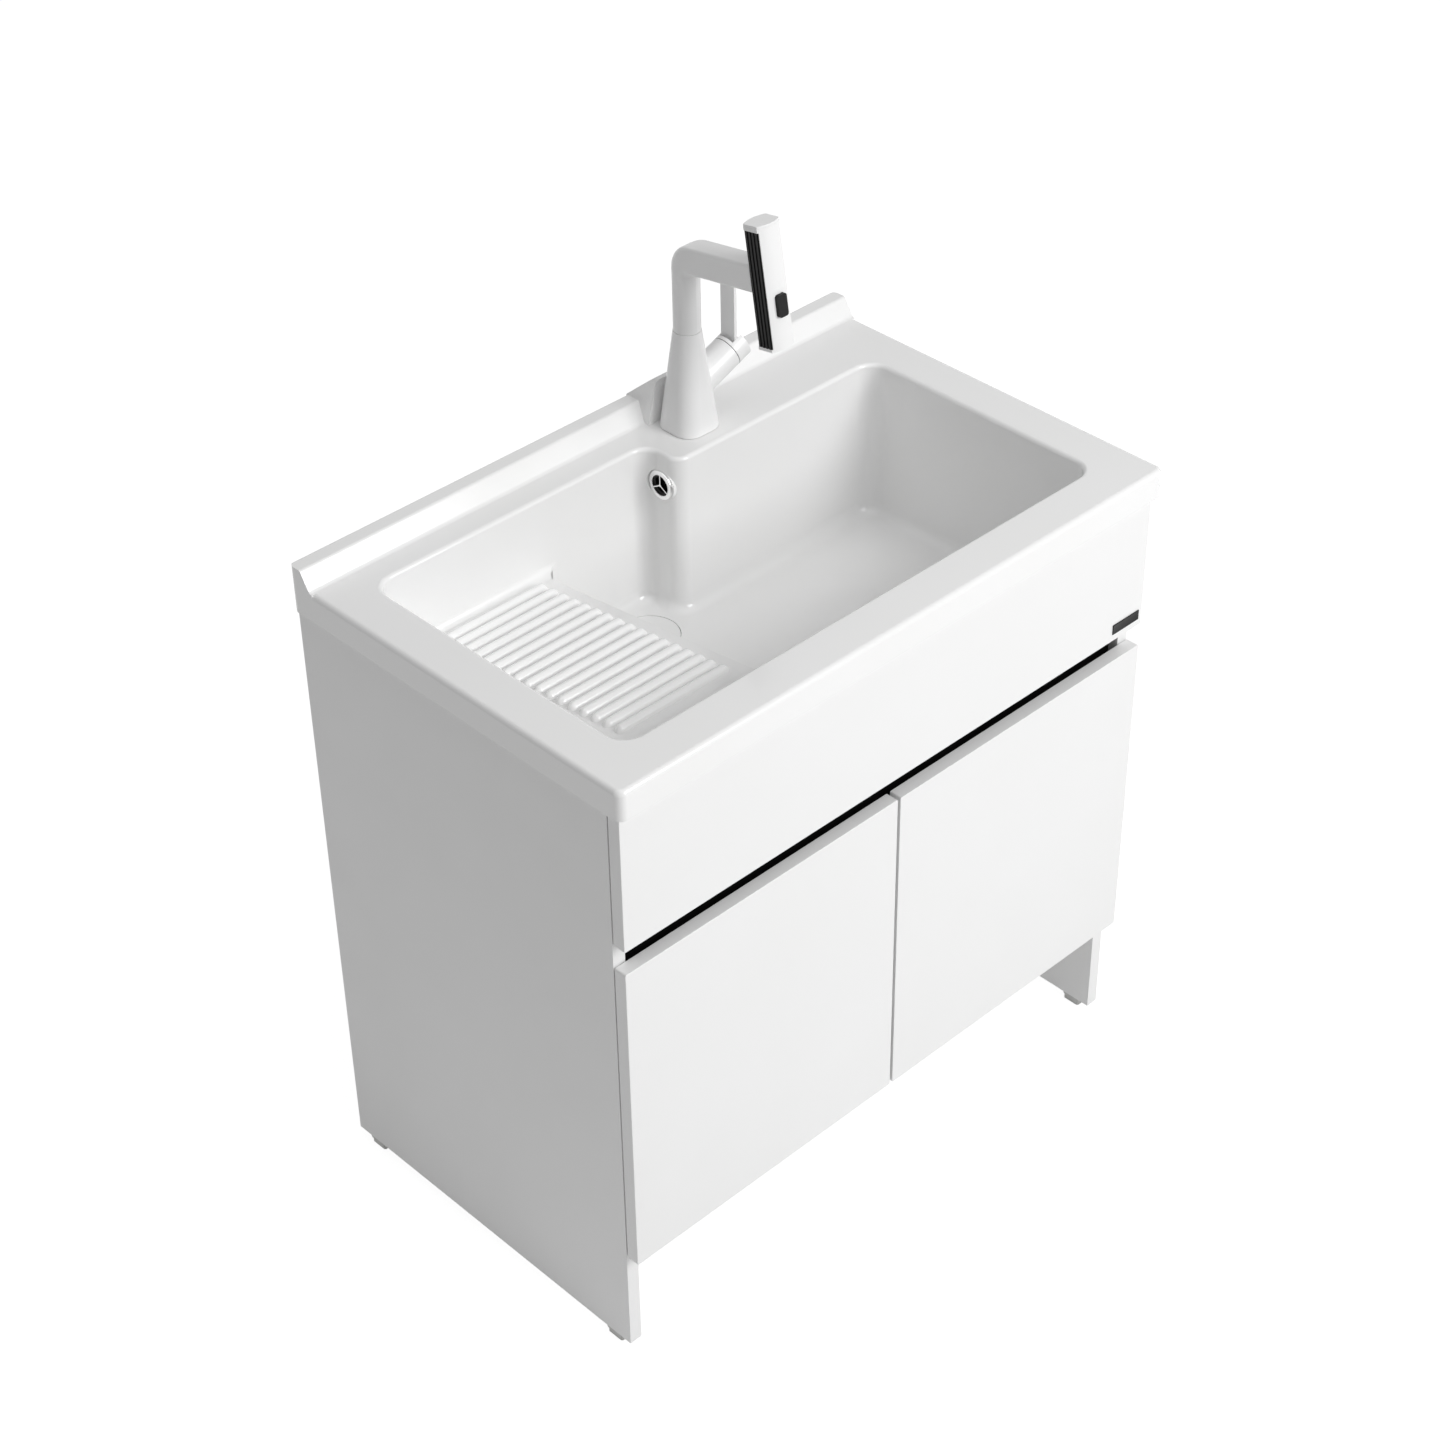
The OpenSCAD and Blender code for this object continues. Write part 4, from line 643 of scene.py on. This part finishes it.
def bracket_screws():
    mesh = screw_mesh(SCREW_R, SCREW_H, SCREW_SLOT)
    low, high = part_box("panel_brackets")
    rows = [low.z + BRACKET_HALF, high.z - BRACKET_HALF]
    for side, sign, wall in (("left", 1, low.x), ("right", -1, high.x)):
        flat = [Vector((wall + sign * BRACKET_T, low.y + BRACKET_HOLE_IN, z)) for z in rows]
        put_screws("bracket_side_screws_" + side, mesh, flat, (sign, 0, 0), "cabinet")
        front = [Vector((wall + sign * BRACKET_HOLE_IN, low.y + BRACKET_T, z)) for z in rows]
        put_screws("bracket_front_screws_" + side, mesh, front, (0, 1, 0), "cabinet")


def bare_plate():
    """A thin black plate at the right end of the front panel."""
    low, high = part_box("front_panel")
    x = high.x - PLATE_RIGHT_IN - PLATE_W / 2
    z = low.z + PLATE_UP + PLATE_H / 2
    deselect()
    bpy.ops.mesh.primitive_cube_add(size=1, location=(x, low.y - PLATE_T / 2, z),
                                    scale=(PLATE_W, PLATE_T, PLATE_H))
    piece = bpy.context.object
    piece.name = "bare_plate"
    settle(piece)
    edit(piece)
    pick_faces(piece, lambda normal: normal.y < -0.9)
    bpy.ops.mesh.inset(thickness=PLATE_EDGE)
    bpy.ops.mesh.inset(thickness=PLATE_EDGE * 2)
    bpy.ops.transform.translate(value=(0, PLATE_EDGE / 2, 0))
    done()
    bevelled(piece, PLATE_EASE)
    only(piece)
    bpy.ops.object.shade_smooth_by_angle(angle=SMOOTH_ANGLE)
    set_finish(piece, "black_plastic")
    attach(piece, "cabinet")


def spray_jets():
    """Soft nubs round the holes of the spray plate."""
    low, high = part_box("spray_nozzle")
    centre = (low + high) / 2
    tilt = Matrix.Rotation(-HEAD_TILT, 4, "X")
    down = tilt @ Vector((0, 0, -JET_DOWN))
    nubs = []
    for i in JET_COLUMNS:
        for j in JET_ROWS:
            deselect()
            bpy.ops.mesh.primitive_torus_add(major_radius=JET_R, minor_radius=JET_R * JET_RING_SHARE,
                                             major_segments=16, minor_segments=8)
            nub = bpy.context.object
            shift = tilt @ Vector((i * JET_PITCH, j * JET_PITCH, 0))
            nub.data.transform(Matrix.Translation(centre + down + shift) @ tilt)
            nubs.append(nub)
    deselect()
    for nub in nubs:
        nub.select_set(True)
    bpy.context.view_layer.objects.active = nubs[0]
    bpy.ops.object.join()
    piece = bpy.context.object
    piece.name = "spray_jets"
    bpy.ops.object.shade_smooth()
    set_finish(piece, "rubber")
    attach(piece, "spray")


# Studio: floor, light and camera

def camera_sees(tree):
    """1 for rays from the camera, from mirrors and through glass, otherwise 0."""
    path = tree.nodes.new("ShaderNodeLightPath")
    either = tree.nodes.new("ShaderNodeMath")
    either.operation = "MAXIMUM"
    also = tree.nodes.new("ShaderNodeMath")
    also.operation = "MAXIMUM"
    tree.links.new(path.outputs["Is Camera Ray"], either.inputs[0])
    tree.links.new(path.outputs["Is Glossy Ray"], either.inputs[1])
    tree.links.new(either.outputs[0], also.inputs[0])
    tree.links.new(path.outputs["Is Transmission Ray"], also.inputs[1])
    return also.outputs[0]


def floor():
    deselect()
    bpy.ops.mesh.primitive_plane_add(size=FLOOR_SIZE, location=(0, 0, 0))
    piece = bpy.context.object
    piece.name = "floor"
    material = bpy.data.materials.new("floor_paper")
    material.use_nodes = True
    tree = material.node_tree
    tree.nodes.clear()
    lit = tree.nodes.new("ShaderNodeBsdfDiffuse")
    lit.inputs["Color"].default_value = grey(FLOOR_GREY)
    seen = tree.nodes.new("ShaderNodeBsdfDiffuse")
    seen.inputs["Color"].default_value = grey(FLOOR_SHADE_SHARE)
    glow = tree.nodes.new("ShaderNodeEmission")
    glow.inputs["Strength"].default_value = FLOOR_GLOW
    both = tree.nodes.new("ShaderNodeAddShader")
    mix = tree.nodes.new("ShaderNodeMixShader")
    end = tree.nodes.new("ShaderNodeOutputMaterial")
    tree.links.new(seen.outputs[0], both.inputs[0])
    tree.links.new(glow.outputs[0], both.inputs[1])
    tree.links.new(camera_sees(tree), mix.inputs[0])
    tree.links.new(lit.outputs[0], mix.inputs[1])
    tree.links.new(both.outputs[0], mix.inputs[2])
    tree.links.new(mix.outputs[0], end.inputs["Surface"])
    piece.data.materials.append(material)


def world():
    sky = bpy.data.worlds.new("studio")
    bpy.context.scene.world = sky
    sky.use_nodes = True
    tree = sky.node_tree
    back = tree.nodes["Background"]
    back.inputs["Color"].default_value = (1, 1, 1, 1)
    strength = tree.nodes.new("ShaderNodeMapRange")
    strength.inputs["To Min"].default_value = WORLD_FILL
    strength.inputs["To Max"].default_value = 1.0
    tree.links.new(camera_sees(tree), strength.inputs["Value"])
    tree.links.new(strength.outputs["Result"], back.inputs["Strength"])


def softbox(name, place, size, power):
    lamp = bpy.data.lights.new(name, "AREA")
    lamp.shape = "SQUARE"
    lamp.size = size
    lamp.energy = power
    piece = bpy.data.objects.new(name, lamp)
    piece.location = place
    look = Vector(AIM) - Vector(place)
    piece.rotation_euler = look.to_track_quat("-Z", "Y").to_euler()
    bpy.context.scene.collection.objects.link(piece)


def camera():
    lens = bpy.data.cameras.new("camera")
    lens.lens = CAMERA_LENS
    lens.sensor_width = CAMERA_SENSOR
    lens.sensor_fit = "HORIZONTAL"
    lens.clip_end = 100.0
    lens.dof.use_dof = False
    piece = bpy.data.objects.new("camera", lens)
    turn = Matrix.Rotation(CAMERA_TURN, 4, "Z")
    tip = Matrix.Rotation(math.pi / 2 - CAMERA_HEIGHT, 4, "X")
    roll = Matrix.Rotation(CAMERA_ROLL, 4, "Z")
    piece.matrix_world = Matrix.Translation(CAMERA_PLACE) @ turn @ tip @ roll
    bpy.context.scene.collection.objects.link(piece)
    bpy.context.scene.camera = piece


camera()
finish_nodes()
finished_copy("basin", shape=shape_washboard)
finished_copy("overflow_web", shape=shape_web)
finish_boards()
finish_tap()
hinge_screws()
bracket_screws()
bare_plate()
spray_jets()
floor()
world()
softbox("key_light", KEY_PLACE, KEY_SIZE, KEY_POWER)
softbox("top_light", TOP_PLACE, TOP_SIZE, TOP_POWER)
bpy.context.scene.view_settings.view_transform = "Standard"
